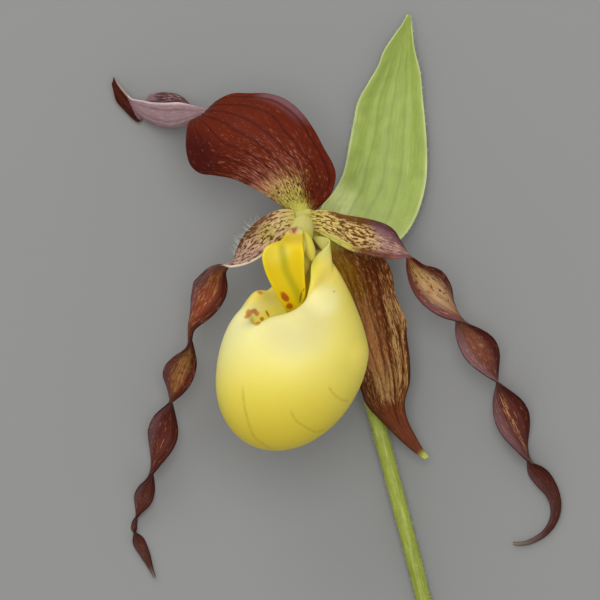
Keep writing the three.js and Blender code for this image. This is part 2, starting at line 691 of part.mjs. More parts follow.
// What lies under the surface is trimmed, which leaves the small flat spots that the flower rests on.
const SLAB = { size: 400, thickness: 20 };
const slabGeometry = new THREE.BoxGeometry(SLAB.size, SLAB.size, SLAB.thickness);
slabGeometry.translate(0, 0, -SLAB.thickness / 2);
slabGeometry.deleteAttribute("normal");
slabGeometry.deleteAttribute("uv");
const belowSurface = solidOf(slabGeometry);

const BEAD = { sections: 8, sides: 10 }; // how finely anthers and stigma are divided

// Each organ as a solid, and swelled by the clearance to cut the organs that are seated on it.
const organ = (make) => ({ solid: solidOf(make(0)), swelled: solidOf(make(CLEARANCE)) });
const blade = (shape) => organ((grow) => bladeGeometry(shape, grow));
const stalk = (shape) => organ((grow) => stalkGeometry(shape, grow));
const bead = (stations) => stalk({ stations, ...BEAD });

// In order of seating: each organ is cut clear of every organ listed before it.
const organs = {
  ovary: [stalk(OVARY), COLOURS.ovary],
  stem: [stalk(STEM), COLOURS.stem],
  staminode: [blade(STAMINODE), COLOURS.staminode],
  column: [stalk(COLUMN), COLOURS.column],
  lip: [organ(lipGeometry), COLOURS.lip],
  anther_left: [bead(ANTHERS.anther_left), COLOURS.anther],
  anther_right: [bead(ANTHERS.anther_right), COLOURS.anther],
  stigma: [bead(STIGMA), COLOURS.stigma],
  petal_left: [blade(LEFT_PETAL), COLOURS.petal],
  petal_right: [blade(RIGHT_PETAL), COLOURS.petal],
  dorsal_sepal: [blade(DORSAL_SEPAL), COLOURS.sepal],
  synsepal: [blade(SYNSEPAL), COLOURS.sepal],
  bract: [blade(BRACT), COLOURS.bract],
};

const flower = new THREE.Group();
flower.position.set(HUB_FROM_ORIGIN.x, HUB_FROM_ORIGIN.y, 0);
const seated = [];
for (const [name, [{ solid, swelled }, colour]] of Object.entries(organs)) {
  let cut = solid.subtract(belowSurface);
  for (const neighbour of seated) cut = cut.subtract(neighbour);
  seated.push(swelled);
  const material = new THREE.MeshStandardMaterial({ color: colour, roughness: ROUGHNESS, metalness: 0 });
  const mesh = new THREE.Mesh(geometryOf(biggest(cut)), material);
  mesh.name = name;
  flower.add(mesh);
}

export default flower;
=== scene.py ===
"""A slipper orchid flower (Cypripedium), picked with its bract and a length of stem, lying on its back.

Every part of the flower has an operator of its own, which grows a fine mesh along the same stations as the
fixed model and gives it its colours, veins and hairs. Tables are in millimetres round the hub, the top of
the ovary, where all the parts meet: x runs to the flower's right, y along the stem towards the flower, and
z up from the surface that it lies on. Colours written as three whole numbers are display colours, 0 to 255.
"""

import math

import bpy
import numpy as np
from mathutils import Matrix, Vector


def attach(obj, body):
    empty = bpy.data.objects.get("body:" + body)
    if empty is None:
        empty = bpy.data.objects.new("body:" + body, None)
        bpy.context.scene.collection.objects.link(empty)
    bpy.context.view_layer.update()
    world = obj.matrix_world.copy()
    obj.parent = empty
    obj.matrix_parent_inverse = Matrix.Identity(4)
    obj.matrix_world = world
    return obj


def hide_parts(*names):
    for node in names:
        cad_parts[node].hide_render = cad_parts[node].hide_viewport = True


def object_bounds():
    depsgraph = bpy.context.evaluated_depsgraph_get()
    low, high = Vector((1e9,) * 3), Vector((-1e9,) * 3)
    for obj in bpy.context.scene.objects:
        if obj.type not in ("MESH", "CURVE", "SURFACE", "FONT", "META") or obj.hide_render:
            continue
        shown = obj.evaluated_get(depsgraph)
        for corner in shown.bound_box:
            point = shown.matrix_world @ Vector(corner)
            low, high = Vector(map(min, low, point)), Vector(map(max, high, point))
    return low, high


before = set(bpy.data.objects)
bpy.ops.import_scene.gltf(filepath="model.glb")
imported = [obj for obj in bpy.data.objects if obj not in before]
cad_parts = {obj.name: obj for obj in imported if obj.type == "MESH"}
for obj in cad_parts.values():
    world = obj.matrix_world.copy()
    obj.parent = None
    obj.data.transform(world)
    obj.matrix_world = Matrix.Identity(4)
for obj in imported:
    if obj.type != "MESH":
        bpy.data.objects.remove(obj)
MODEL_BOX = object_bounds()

bl_info = {
    "name": "Slipper Orchid Flower",
    "version": (1, 0, 0),
    "blender": (4, 5, 0),
    "location": "3D View > Sidebar > Orchid",
    "description": "Grows a picked slipper orchid flower round its fixed model",
    "category": "Add Mesh",
}

HUB = np.array([-6.71, 25.01, 0.0])  # where the hub stands in the model's frame, in millimetres
METRES = 0.001  # one millimetre
BODY = "root"


# ---- the flower's stations ----

# Leaves: each row is a point x, y, z on the left margin, on the midrib and on the right margin.
DORSAL_SEPAL = [
    (-1.8, 1.4, 20.2, -0.1, 1.8, 20.7, 1.6, 1.6, 20.2),
    (-3.8, 2.8, 20.4, -0.4, 3.8, 21.4, 3.6, 3.4, 20.4),
    (-5.4, 3.8, 20.8, -0.8, 6, 22.6, 5.6, 5.8, 20.6),
    (-7.6, 5.4, 21.4, -2, 8.8, 24.2, 6.5, 9, 21),
    (-10.6, 7.2, 21.6, -4, 11.4, 25.6, 6, 11.4, 22),
    (-14.2, 8.8, 21.4, -6.4, 13.6, 26.4, 4.2, 14.6, 22.8),
    (-17.8, 9.4, 21, -9, 15.6, 26.8, 2.2, 18.4, 23),
    (-20.6, 9.8, 20.4, -11.6, 17.2, 26.6, -0.4, 22, 22.6),
    (-22.6, 11.6, 19.8, -14, 18.6, 25.6, -3.4, 24.4, 22),
    (-23.4, 14.6, 19.4, -16, 19.8, 24, -7, 25.6, 21.2),
    (-23.3, 17.2, 19, -17.8, 20.6, 22, -10.6, 25.8, 20.2),
    (-22.8, 19.2, 18, -19.4, 21, 19.6, -14.2, 25.8, 19),
    (-22.2, 20.2, 16, -20, 21.4, 16.6, -17.2, 24.2, 17),
    (-21, 20.8, 13.8, -20, 21.4, 13.8, -18.6, 22.6, 14.2),
    (-19.4, 22.8, 12.2, -20.2, 21.6, 11, -19, 22.6, 9),
    (-21.9, 23.5, 11.4, -22.6, 20, 9, -21.4, 22.6, 6.8),
    (-24.8, 24, 9.4, -25.2, 19.2, 6.2, -24.4, 25.4, 3.8),
    (-27.6, 23.8, 8, -28, 19.3, 4.2, -27.4, 26.2, 2.4),
    (-30.2, 23.9, 6.2, -30.6, 20.2, 2.9, -30.4, 25.8, 1.3),
    (-32.2, 24.4, 4.8, -32.2, 21.2, 2.3, -31.6, 24.2, 0.8),
    (-33.4, 24.7, 4, -33, 21.8, 2.3, -32, 22, 0.7),
    (-34.6, 25.1, 3.4, -33.9, 22.5, 1.8, -33, 19.8, 0.5),
    (-36.2, 26.8, 3, -36, 24.4, 1.5, -36, 22.4, 0.6),
    (-37.3, 28.2, 3, -37.5, 26.2, 1.9, -37.7, 24.4, 1.2),
    (-38, 29.3, 3.3, -38.2, 28.5, 2.9, -38.4, 27.7, 2.5),
]
SYNSEPAL = [
    (0.4, -2.2, 19.4, 1.8, -1.6, 20, 3.4, -0.9, 19.6),
    (1.8, -4.8, 17.8, 4.8, -3.8, 18.4, 8.4, -2.6, 17.4),
    (2.2, -9.2, 15.4, 8.4, -8, 16, 15, -6, 14.6),
    (3.8, -14, 12.8, 10.4, -12.2, 13.6, 17.6, -9.6, 12.2),
    (6, -18.8, 10.8, 12.2, -17.2, 11.6, 18.6, -14.8, 10.4),
    (7.6, -23.2, 9.6, 13.6, -21.8, 10.2, 20.6, -19.2, 9.4),
    (9.2, -26.8, 8.6, 14.8, -25.6, 9.3, 20.8, -22.8, 8.2),
    (10.8, -30.8, 7.8, 16, -29.8, 8.5, 21.4, -27.6, 7.6),
    (11.6, -33.6, 7, 16.8, -33.4, 7.8, 21.4, -32, 7),
    (12.8, -36.6, 6.4, 17.6, -36.8, 7.1, 20.4, -36, 6.6),
    (16.2, -40.4, 5.9, 19, -40.4, 6.4, 21, -39.6, 6.1),
    (19.4, -43.6, 5.3, 21, -43.2, 5.7, 22.4, -42.6, 5.5),
    (22.2, -46, 4.6, 23, -45.6, 4.9, 23.8, -45, 4.8),
    (24.4, -47.5, 4.1, 24.8, -47.3, 4.2, 25.3, -47.1, 4.1),
]
BRACT = [
    (5, -7.2, 6.4, 6.8, -8, 5.4, 8.8, -7.2, 6.4),
    (3.4, -4, 5.6, 9.4, -5, 3.2, 14.6, -6, 5.2),
    (2.8, 0, 4.2, 11.8, -1.6, 1.8, 19, -3.8, 4),
    (4, 3.6, 3.2, 13.6, 2, 1, 21.6, -1, 3.2),
    (6.2, 6.2, 2.8, 15, 5.6, 0.6, 23.6, 3.4, 2.8),
    (8.2, 10.2, 2.4, 16.2, 10.2, 0.4, 24.8, 8.8, 2.4),
    (9.3, 15.8, 2.2, 17, 15, 0.3, 24.9, 14.8, 2.2),
    (10.2, 20.4, 2.2, 17.6, 20, 0.3, 24.5, 20.6, 2.2),
    (11, 24.2, 2.2, 18.2, 24.8, 0.4, 24, 25.6, 2.2),
    (13.2, 28.2, 2.4, 18.8, 28.8, 0.7, 23.6, 29.8, 2.4),
    (15, 31.2, 2.7, 19.4, 31.8, 1.2, 22.9, 32.8, 2.7),
    (16.2, 34.4, 3.1, 20, 34.8, 1.9, 22.3, 35.4, 3.1),
    (18.2, 37.4, 3.6, 20.4, 37.6, 2.8, 22, 38, 3.6),
    (19.8, 39.6, 4.2, 21, 39.8, 3.8, 21.8, 40.4, 4.2),
    (21, 41.7, 4.8, 21.2, 41.8, 4.8, 21.5, 41.7, 4.8),
]
STAMINODE = [
    (-2.4, -1.6, 33.6, -1.3, -1.5, 33.4, -0.2, -1.6, 33.6),
    (-3.1, -2, 35.6, -1.6, -2, 35.3, 0, -2, 35.6),
    (-3.8, -2.8, 37, -2, -2.8, 36.6, 0, -2.6, 37),
    (-4.6, -3.9, 38.1, -2.8, -3.8, 37.4, 0, -3.6, 38),
    (-6.6, -4.6, 39, -3.6, -4.7, 37.9, 0, -4.7, 38.7),
    (-7.7, -5.6, 39.5, -3.8, -5.8, 38.1, 0.1, -5.8, 39.2),
    (-8.1, -7.2, 39.6, -3.7, -7.3, 38, 0.2, -7.2, 39.4),
    (-7.7, -9.3, 39.1, -3.4, -9.3, 37.5, 0.2, -9.2, 39),
    (-6.9, -11.4, 38.3, -2.7, -11.4, 36.9, 0.3, -11.4, 38.3),
    (-5.9, -13.4, 37.4, -1.9, -13.4, 36.2, 0.4, -13.4, 37.5),
    (-5, -15.2, 36.4, -1.5, -15.2, 35.5, 0.3, -15.2, 36.5),
    (-4, -16.8, 35.4, -1.5, -16.8, 34.8, -0.2, -16.8, 35.6),
    (-3, -18.3, 34.3, -1.7, -18.3, 34, -0.7, -18.3, 34.5),
    (-2, -19.6, 33.4, -1.7, -19.6, 33.3, -1.2, -19.6, 33.5),
]

# Ribbons: each station is x, y, z, half width, roll and cup, the last two in degrees.
LEFT_PETAL = [
    (-1.6, 0.4, 21.9, 1.9, 0, 6), (-4, 0, 22.3, 2.6, -4, 10), (-6.5, -1.6, 22.2, 3, -6, 14),
    (-8.8, -3.7, 21.4, 3.1, -12, 18), (-11.4, -6.2, 19.9, 3, -40, 20), (-13.6, -7.7, 18.6, 3, -68, 16),
    (-15, -8.4, 17.7, 3, -94, 14), (-17.3, -10.2, 16.4, 3.3, -124, 16), (-18.7, -13.6, 15, 3.6, -176, 18),
    (-20.8, -17.2, 13.3, 3.5, -220, 16), (-22.6, -20.8, 12, 2.9, -256, 14),
    (-22.9, -24.4, 10.8, 2.8, -274, 12), (-23.9, -27.2, 9.9, 3.1, -318, 14),
    (-24.8, -30, 9, 3.2, -360, 16), (-25.6, -33, 8.1, 3.2, -405, 14), (-26.6, -36, 7.2, 3, -450, 12),
    (-27.6, -39.4, 6.3, 3, -500, 14), (-28.2, -42.8, 5.5, 3.1, -540, 16),
    (-29.4, -46.6, 4.4, 2.7, -588, 14), (-30.6, -50.4, 3.3, 2.2, -630, 12),
    (-31.5, -53.2, 2.5, 2.1, -680, 12), (-32.1, -55.6, 1.9, 1.9, -725, 12),
    (-32.9, -57.8, 1.4, 1.4, -775, 10), (-33.5, -59.4, 1, 0.9, -815, 6),
    (-33.9, -60.8, 0.8, 0.6, -880, 4), (-33.9, -62, 0.8, 0.8, -970, 6), (-33.1, -64, 0.8, 1.3, -1055, 8),
    (-31.7, -66.8, 0.8, 1, -1080, 8), (-30.6, -69.4, 0.8, 0.5, -1085, 4),
    (-29.8, -71.3, 0.8, 0.25, -1085, 0),
]
RIGHT_PETAL = [
    (1.4, 0.4, 21.9, 1.9, 0, 6), (4.2, 0, 22.4, 2.5, 0, 10), (7, -1.2, 22.5, 2.9, 4, 14),
    (11, -2.6, 21.9, 3.6, 6, 16), (15, -3.6, 20.7, 3.6, 15, 18), (18.2, -5, 19.2, 3.4, 44, 16),
    (21, -6.6, 17.8, 3.3, 88, 14), (22.9, -9.5, 16.2, 3.6, 126, 16), (25.5, -12.7, 14.4, 3.75, 172, 18),
    (28.6, -15.8, 12.4, 3.7, 216, 16), (31.4, -18.9, 10.6, 3.3, 268, 14),
    (33.2, -21.8, 9.6, 3.4, 315, 16), (35.4, -25.3, 8.5, 3.6, 360, 18), (37.4, -28.7, 7.4, 3.4, 405, 16),
    (39, -32, 6.4, 3.1, 450, 14), (40.3, -35.4, 5.7, 3.4, 495, 16), (42.1, -39.5, 4.8, 3.6, 540, 18),
    (44, -44, 3.9, 3, 590, 14), (45.5, -47.6, 2.6, 2.2, 630, 12), (46.8, -49.8, 2.1, 2.1, 678, 12),
    (48.7, -52.2, 1.7, 1.8, 715, 14), (50.2, -54.6, 1.3, 1.4, 725, 14), (50.8, -57.4, 1, 1.1, 730, 12),
    (50.2, -60.2, 0.8, 0.85, 735, 8), (48.4, -62.6, 0.8, 0.65, 740, 6), (45.6, -64.2, 0.8, 0.5, 740, 4),
    (43.4, -64.6, 0.8, 0.35, 740, 0), (42.2, -64.4, 0.8, 0.25, 740, 0),
]

# Tones along the petals: a fraction of the length, the colours of the middle and of the margins, and how much
# there is of pale streaks, of dark dashes and of a mauve sheen on the half that lies to the flower's left.
LEFT_PETAL_TONES = [
    (0, (184, 174, 84), (184, 172, 88), 0, 0.2, 0),
    (0.04, (194, 172, 114), (190, 160, 114), 0.1, 0.42, 0),
    (0.12, (196, 164, 132), (186, 152, 134), 0.1, 0.45, 0),
    (0.19, (176, 146, 134), (178, 152, 138), 0.2, 0.4, 0.1),
    (0.21, (130, 76, 48), (102, 56, 44), 0.34, 0, 0.5),
    (0.26, (124, 64, 40), (96, 40, 30), 0.32, 0, 0.6),
    (0.3, (124, 58, 36), (96, 38, 26), 0.32, 0, 0.45),
    (0.37, (98, 42, 26), (84, 34, 24), 0.22, 0, 0.5),
    (0.4, (132, 98, 52), (84, 38, 20), 0.42, 0.34, 0.4),
    (0.46, (124, 84, 42), (76, 30, 14), 0.34, 0.38, 0.3),
    (0.52, (84, 34, 26), (70, 28, 20), 0.18, 0, 0.45),
    (0.7, (76, 40, 35), (68, 34, 29), 0.15, 0, 0.35),
    (0.96, (62, 32, 23), (58, 30, 22), 0.15, 0, 0.1),
    (1, (110, 104, 92), (110, 104, 92), 0.1, 0, 0.1),
]
RIGHT_PETAL_TONES = [
    (0, (184, 174, 84), (182, 168, 84), 0, 0.4, 0),
    (0.04, (200, 178, 102), (196, 172, 98), 0.1, 0.46, 0),
    (0.12, (202, 170, 110), (178, 144, 100), 0.1, 0.54, 0),
    (0.16, (176, 142, 120), (146, 112, 104), 0.2, 0.3, 0),
    (0.2, (150, 84, 54), (122, 52, 34), 0.2, 0.1, 0),
    (0.225, (184, 98, 40), (128, 46, 26), 0.3, 0.15, 0.05),
    (0.26, (192, 160, 100), (108, 56, 46), 0.45, 0.3, 0.1),
    (0.32, (182, 154, 116), (104, 60, 56), 0.45, 0.25, 0.2),
    (0.37, (120, 72, 48), (94, 48, 38), 0.3, 0, 0.4),
    (0.42, (118, 68, 54), (94, 44, 38), 0.27, 0, 0.75),
    (0.5, (94, 48, 42), (84, 38, 34), 0.22, 0, 0.7),
    (0.58, (86, 42, 38), (76, 32, 28), 0.15, 0, 0.6),
    (0.75, (62, 32, 28), (58, 30, 26), 0.1, 0, 0.1),
    (0.88, (60, 34, 30), (60, 34, 32), 0.1, 0, 0.2),
    (0.94, (104, 90, 84), (104, 90, 84), 0.1, 0, 0.2),
    (1, (126, 122, 112), (126, 122, 112), 0.1, 0, 0.2),
]

# Stalks: each station is x, y, z and radius.
STEM = [
    (28.4, -91.6, 1.4, 1.55), (26.4, -84, 1.4, 1.55), (24.2, -75.6, 1.5, 1.55), (22, -66.8, 1.7, 1.55),
    (19.8, -58.4, 1.9, 1.55), (17.8, -50.8, 2.1, 1.55), (16, -44, 2.4, 1.55), (14.3, -37.6, 2.8, 1.55),
    (12.5, -30.8, 3.4, 1.55), (10.7, -23.8, 4.2, 1.6), (9, -17.2, 5.3, 1.6), (7.4, -11.2, 6.8, 1.65),
    (6.4, -7.4, 8.4, 1.7),
]
OVARY = [
    (6.15, -6.6, 8.9, 1.7), (5.2, -4.6, 10.9, 2), (3.5, -2.6, 13.8, 2.3), (1.7, -0.9, 16.9, 2.3),
    (0.5, -0.1, 19.2, 2.3), (0.1, 0, 20.6, 2.7), (0, 0, 21.2, 2.5), (0, 0, 21.5, 1.8),
]
COLUMN = [
    (0, -0.3, 21.9, 1.7), (0, -0.6, 22.8, 2.1), (-0.2, -1.6, 25.5, 2.3), (-0.5, -2.8, 28.5, 2.4),
    (-0.6, -3.8, 31.2, 2.4), (-0.6, -4.6, 33.4, 2.3), (-0.6, -5, 35, 1.9), (-0.6, -5.2, 36, 1.2),
]
ANTHER_LEFT = [
    (-1.6, -4.6, 33.4, 0.6), (-2.6, -5.8, 33.8, 1.2), (-3.2, -7.4, 34.1, 1.3), (-3.3, -9, 34.2, 1.1),
    (-3.2, -10, 34.2, 0.5),
]
ANTHER_RIGHT = [
    (0.2, -2.4, 33.6, 0.7), (0.7, -3.5, 34.3, 1), (1.1, -4.8, 34.8, 1.15), (1.5, -6.2, 35, 1.05),
    (1.7, -7.4, 35, 0.55),
]
STIGMA = [
    (-0.2, -6, 30, 0.8), (-0.5, -7.2, 30.2, 2), (-0.8, -8.8, 30.5, 2.4), (-1.2, -10.4, 30.7, 1.8),
    (-1.4, -11.4, 30.8, 0.7),
]

# The pouch: loops of 16 points, from the toe by the near side to the heel and back by the far side. The
# ridge is where the wall turns inwards, and the margin is the free edge beyond it.
POUCH_BELLY = np.array([-2.1, -28.1, 30.0])  # the middle of its widest loop
POUCH_BOTTOM = np.array([-4.1, -45.65, 29.0])  # where the belly closes
POUCH_MOUTH = np.array([-3.5, 0.0, 31.0])  # the middle that the ridge turns to, in x and z
POUCH_HALF_LENGTH = 15.2  # of the widest loop, along x
POUCH_HALF_DEPTH = 13.5  # of the widest loop, along z
POUCH_TILT = 1.5  # how far the ends of the widest loop lie from its middle, along y
RISE_FROM_BELLY = np.array([0.8, 13.0, 0.0])  # the slope of the wall at the widest loop
TURN_BELOW_RIDGE = 9.5  # the size of the slope just below the ridge
TURN_AT_RIDGE = 4.5  # the size of the slope just past the ridge, at most
HEEL_TURN = 0.44  # where the heel is on a loop
HEEL_SPREAD = 0.17  # how far it reaches to each side
HEEL_SHOULDER = np.array([-0.95, 0.0, 0.0])  # turns the slope below the ridge at the heel
LONGEST_PULL = 1.3  # the same, at most, as a share of the way from ridge to margin
FALL_TO_MARGIN = 0.9  # the slope at the margin, as a share of that way
FOLD_THINNING = 0.7  # how much thinner the wall gets from the ridge to the margin
LOOP_LEVELS = [(0.03, 1, 30), (1, 2, 44), (2, 3, 22)]  # first and last level and how many, for each stretch
RIDGE = [
    (-11.6, -18, 31.5), (-11, -20, 35), (-9, -20.3, 38.2), (-6, -18.9, 40.2), (-3.2, -18.2, 41),
    (-0.6, -16.8, 40.5), (2.5, -13.9, 38.2), (5.1, -12.2, 34.5), (5.9, -8.4, 29), (2.6, -5.2, 24.6),
    (-0.2, -7.2, 22.2), (-2.8, -9.2, 21.6), (-4.8, -11, 22.6), (-6.8, -13.5, 24.2), (-9.2, -13.8, 26.2),
    (-10.6, -16.2, 28.6),
]
MARGIN = [
    (-9.6, -20.6, 31.4), (-9, -22, 33.4), (-7.6, -22.6, 35.6), (-5, -21.6, 37.4), (-2.4, -19.6, 38),
    (0.2, -16.4, 37.8), (1.4, -12, 36.2), (2, -7.6, 32.4), (5.4, -4, 28.8), (3.1, -2.9, 24.4),
    (0.2, -4, 23.2), (-1.4, -6.4, 24.4), (-1.6, -15.2, 25), (-3.2, -18.8, 26), (-5.4, -20.2, 27.6),
    (-7.6, -20.8, 29.8),
]

# Marks. A line across which a colour changes is a place on it and the way across it, as a unit vector.
SYNSEPAL_VEINS = [  # dark veins: places along and across it, and how strong each is
    ([(0.14, 0.66), (0.207, 0.63), (0.33, 0.53), (0.475, 0.36), (0.648, 0.29), (0.8, 0.1)], 1.0),
    ([(0.14, 0.34), (0.21, 0.36), (0.293, 0.29), (0.39, 0.22), (0.5, 0.14), (0.62, 0.0)], 0.75),
    ([(0.33, 0.74), (0.38, 0.72), (0.44, 0.76), (0.5, 0.78), (0.58, 0.7), (0.66, 0.5)], 0.85),
    ([(0.16, 0.1), (0.24, 0.02), (0.32, -0.06), (0.42, -0.16)], 0.5),
]
POUCH_CREASES = [  # painted shade of faint creases on its belly
    [(-12.0, -33.2), (-11.7, -36.4), (-11.2, -38.8), (-10.2, -42.0), (-9.0, -43.6), (-6.4, -45.2)],
    [(-2.4, -37.8), (-1.4, -39.6), (0.4, -40.8), (2.2, -41.8), (4.0, -41.6)],
    [(5.2, -33.0), (6.4, -34.6), (8.0, -35.6), (9.0, -35.6)],
]
CREASE_PARTS = 8  # long spots in a row that make up one crease
CREASE_REACH = 0.8  # half a spot's length, as a share of the way to the next
CREASE_HALF_WIDTH = 0.3
# the creases' painted shade: its colour and strength
CREASE_SHADE_TONE, CREASE_SHADE_STRENGTH = (172, 148, 20), 0.22
SHIELD_GROOVE = [(-4.2, -5.2), (-4.0, -6.6), (-3.4, -9.6), (-2.3, -11.9), (-1.2, -14.2), (-0.5, -15.7)]
CREST_LINE = (16.3, 0.0, -0.707, 0.707)  # the crest of the pouch's near wall, past which its face gets painted shade
SLIT_LINE = (1.3, -2.3, -0.781, -0.625)  # the edge of the painted shade in the deep gap at the heel of its mouth
FAN_ROOT = (-0.6, 2.0)  # where the streaks of the upper sepal fan out from
FAN_LEAN = -30  # the way that the fan points, in degrees from y towards x
FAN_STREAKS = (0, 3, 7, 8.5, 10, 12, 15, 19, 26), (0.92, 0.7, 0.62, 0.42, 0.35, 0.3, 0.18, 0.07, 0.03)
NOISE_TOP, NOISE_SPAN = 0.73, 0.46  # streaks are where the noise passes NOISE_TOP - NOISE_SPAN * Amount
ROUND_FROM = 0.86  # where a blade's margin begins to round off, as a share of its half width
MARGIN_THINNING, MARGIN_ROUNDING = 0.3, 0.8  # how much thinner a blade gets towards its margin and over it
SHIELD_THICKNESS = 0.8
BACK_SHIFT = [0, 0, 7.3]  # sets the pattern on a leaf's back apart from that on its front
THREE_PARTS = ("ground", "pale", "dark", "amounts")  # stored values with three parts


# ---- smooth curves and steps ----


def hermite(start, start_slope, end, end_slope, t):
    """The cubic from start to end with those slopes."""
    t2 = t * t
    t3 = t2 * t
    rising = (2 * t3 - 3 * t2 + 1) * start + (t3 - 2 * t2 + t) * start_slope
    return rising + (3 * t2 - 2 * t3) * end + (t3 - t2) * end_slope


def station_at(rows, fraction, closed=False):
    """The rows of a table read at fractions 0..1 of its length, by a Catmull-Rom curve."""
    rows = np.asarray(rows, float)
    spans = len(rows) if closed else len(rows) - 1
    place = np.clip(fraction, 0, 1) * spans
    first = np.floor(place).astype(int)
    if not closed:
        first = np.minimum(first, spans - 1)
    t = (place - first)[..., None]

    def row(k):
        return rows[k % len(rows)] if closed else rows[np.clip(k, 0, spans)]

    before, start, end, after = (row(first + k) for k in (-1, 0, 1, 2))
    return hermite(start, (end - before) / 2, end, (after - start) / 2, t)


def unit(vectors):
    """The vectors at length 1."""
    return vectors / np.maximum(np.linalg.norm(vectors, axis=-1, keepdims=True), 1e-9)


def direction_at(rows, fraction, column):
    """The direction in which three columns of a table, from the one given, run on."""
    step = 0.002
    run = station_at(rows, fraction + step) - station_at(rows, fraction - step)
    return unit(run[..., column : column + 3])


def length_along(line):
    """The length of a line of points up to each of them."""
    return np.concatenate([[0], np.cumsum(np.linalg.norm(np.diff(line, axis=0), axis=-1))])


def ramp(value, low, high):
    """A smooth step from 0 at low to 1 at high."""
    t = np.clip((value - low) / (high - low), 0, 1)
    return t * t * (3 - 2 * t)


def fall(value, low, high):
    """A smooth step from 1 at low to 0 at high."""
    return 1 - ramp(value, low, high)


def between(value, rise, top, edge, end):
    """0 up to rise, 1 from top to edge, and 0 from end on."""
    return ramp(value, rise, top) * fall(value, edge, end)


def bump(value, low, high):
    """1 in the middle between low and high, and a smooth fall to 0 at both."""
    width = 0.3 * (high - low)
    return between(value, low, low + width, high - width, high)


def near(points, x, y, radius):
    """1 at the place x, y, and a smooth fall to 0 at the radius."""
    return fall(np.hypot(points[:, 0] - x, points[:, 1] - y), 0.3 * radius, radius)


def past(points, line):
    """How far the points are past a line: x and y of a place on it, and the way across it."""
    x, y, way_x, way_y = line
    return (points[:, 0] - x) * way_x + (points[:, 1] - y) * way_y


# ---- colours ----


def linear(red, green, blue):
    """A display colour, 0 to 255 each, as linear light."""
    return tuple(((c / 255 + 0.055) / 1.055) ** 2.4 for c in (red, green, blue))


def light(colour):
    """A colour in linear light: a tuple holds display values, and all else is linear already."""
    return np.array(linear(*colour)) if isinstance(colour, tuple) else colour


def blend(start, end, amount):
    """A value moved towards another."""
    return start + (end - start) * amount


def layered(base, *layers):
    """A colour for each point: a base under layers, each a colour and its amount at the points."""
    base = light(base)
    for colour, amount in layers:
        base = blend(base, light(colour), amount[:, None])
    return base


# ---- skins: points, faces and what is known at each point ----


class Skin:
    """A closed mesh in millimetres, with named values at its points for the finishes to read."""

    def __init__(self, points, faces, **values):
        self.points, self.faces, self.values = points, faces, values

    def keep(self, **values):
        """Stores values, each given for every point or once for all."""
        for name, value in values.items():
            parts = (3,) if name in THREE_PARTS else ()
            self.values[name] = np.broadcast_to(light(value), (len(self.points), *parts)).copy()

    def __getattr__(self, name):
        if name == "values" or name not in self.values:
            raise AttributeError(name)
        return self.values[name]


def leaf_surface(rows, along, across, relief):
    """Points on a leaf's middle surface: a smooth curve through its three lines of stations."""
    row = station_at(rows, along)
    left, midrib, right = row[..., 0:3], row[..., 3:6], row[..., 6:9]
    chord = right - left
    rise = (left + right) / 2 - midrib
    face = unit(np.cross(chord, direction_at(rows, along, 3)))
    height = relief(along, across, np.linalg.norm(chord, axis=-1) / 2)
    across = across[..., None]
    return midrib + chord * across / 2 + rise * across**2 + face * height[..., None]


def ribbon_surface(rows, along, across, relief):
    """Points on a twisted ribbon's middle surface."""
    row = station_at(rows, along)
    tangent = direction_at(rows, along, 0)
    level = unit(np.stack([tangent[..., 1], -tangent[..., 0], 0 * tangent[..., 2]], axis=-1))
    upright = np.cross(level, tangent)
    turn = np.radians(row[..., 4])[..., None]
    side = level * np.cos(turn) + upright * np.sin(turn)
    face = upright * np.cos(turn) - level * np.sin(turn)
    bend = np.maximum(np.radians(row[..., 5]), 1e-3)
    half_width = row[..., 3]
    out = np.sin(bend * across) / bend * half_width
    lift = (1 - np.cos(bend * across)) / bend * half_width + relief(along, across, half_width)
    return row[..., 0:3] + side * out[..., None] + face * lift[..., None]


def folds(pleats=0, height=0.0, waves=0, wave_height=0.0):
    """Lengthwise pleats over the width, and waves along the margins, out of step from side to side."""

    def relief(along, across, half_width):
        size = np.minimum(1, half_width / 5)
        pleated = height * size * np.sin(np.pi * along) * np.cos(np.pi * pleats * across)
        wave = np.sin(2 * np.pi * waves * along + np.where(across > 0, 0, 2))
        return pleated + wave_height * size * np.abs(across) ** 3 * wave

    return relief


def grid_faces(sections, strips):
    """The faces of two grids of points, front and back, joined all round."""
    width = strips + 1
    count = (sections + 1) * width
    low, first = np.arange(sections) * width, np.arange(strips)
    a = np.add.outer(low, first).ravel()
    high, last = low + strips, first + sections * width
    front = np.stack([a, a + 1, a + width + 1, a + width], axis=1)
    sides = [
        (low, low + width, low + width + count, low + count),
        (high, high + count, high + width + count, high + width),
        (first, first + count, first + 1 + count, first + 1),
        (last, last + 1, last + 1 + count, last + count),
    ]
    return np.concatenate([front, front[:, ::-1] + count, *(np.stack(s, axis=1) for s in sides)]).tolist()


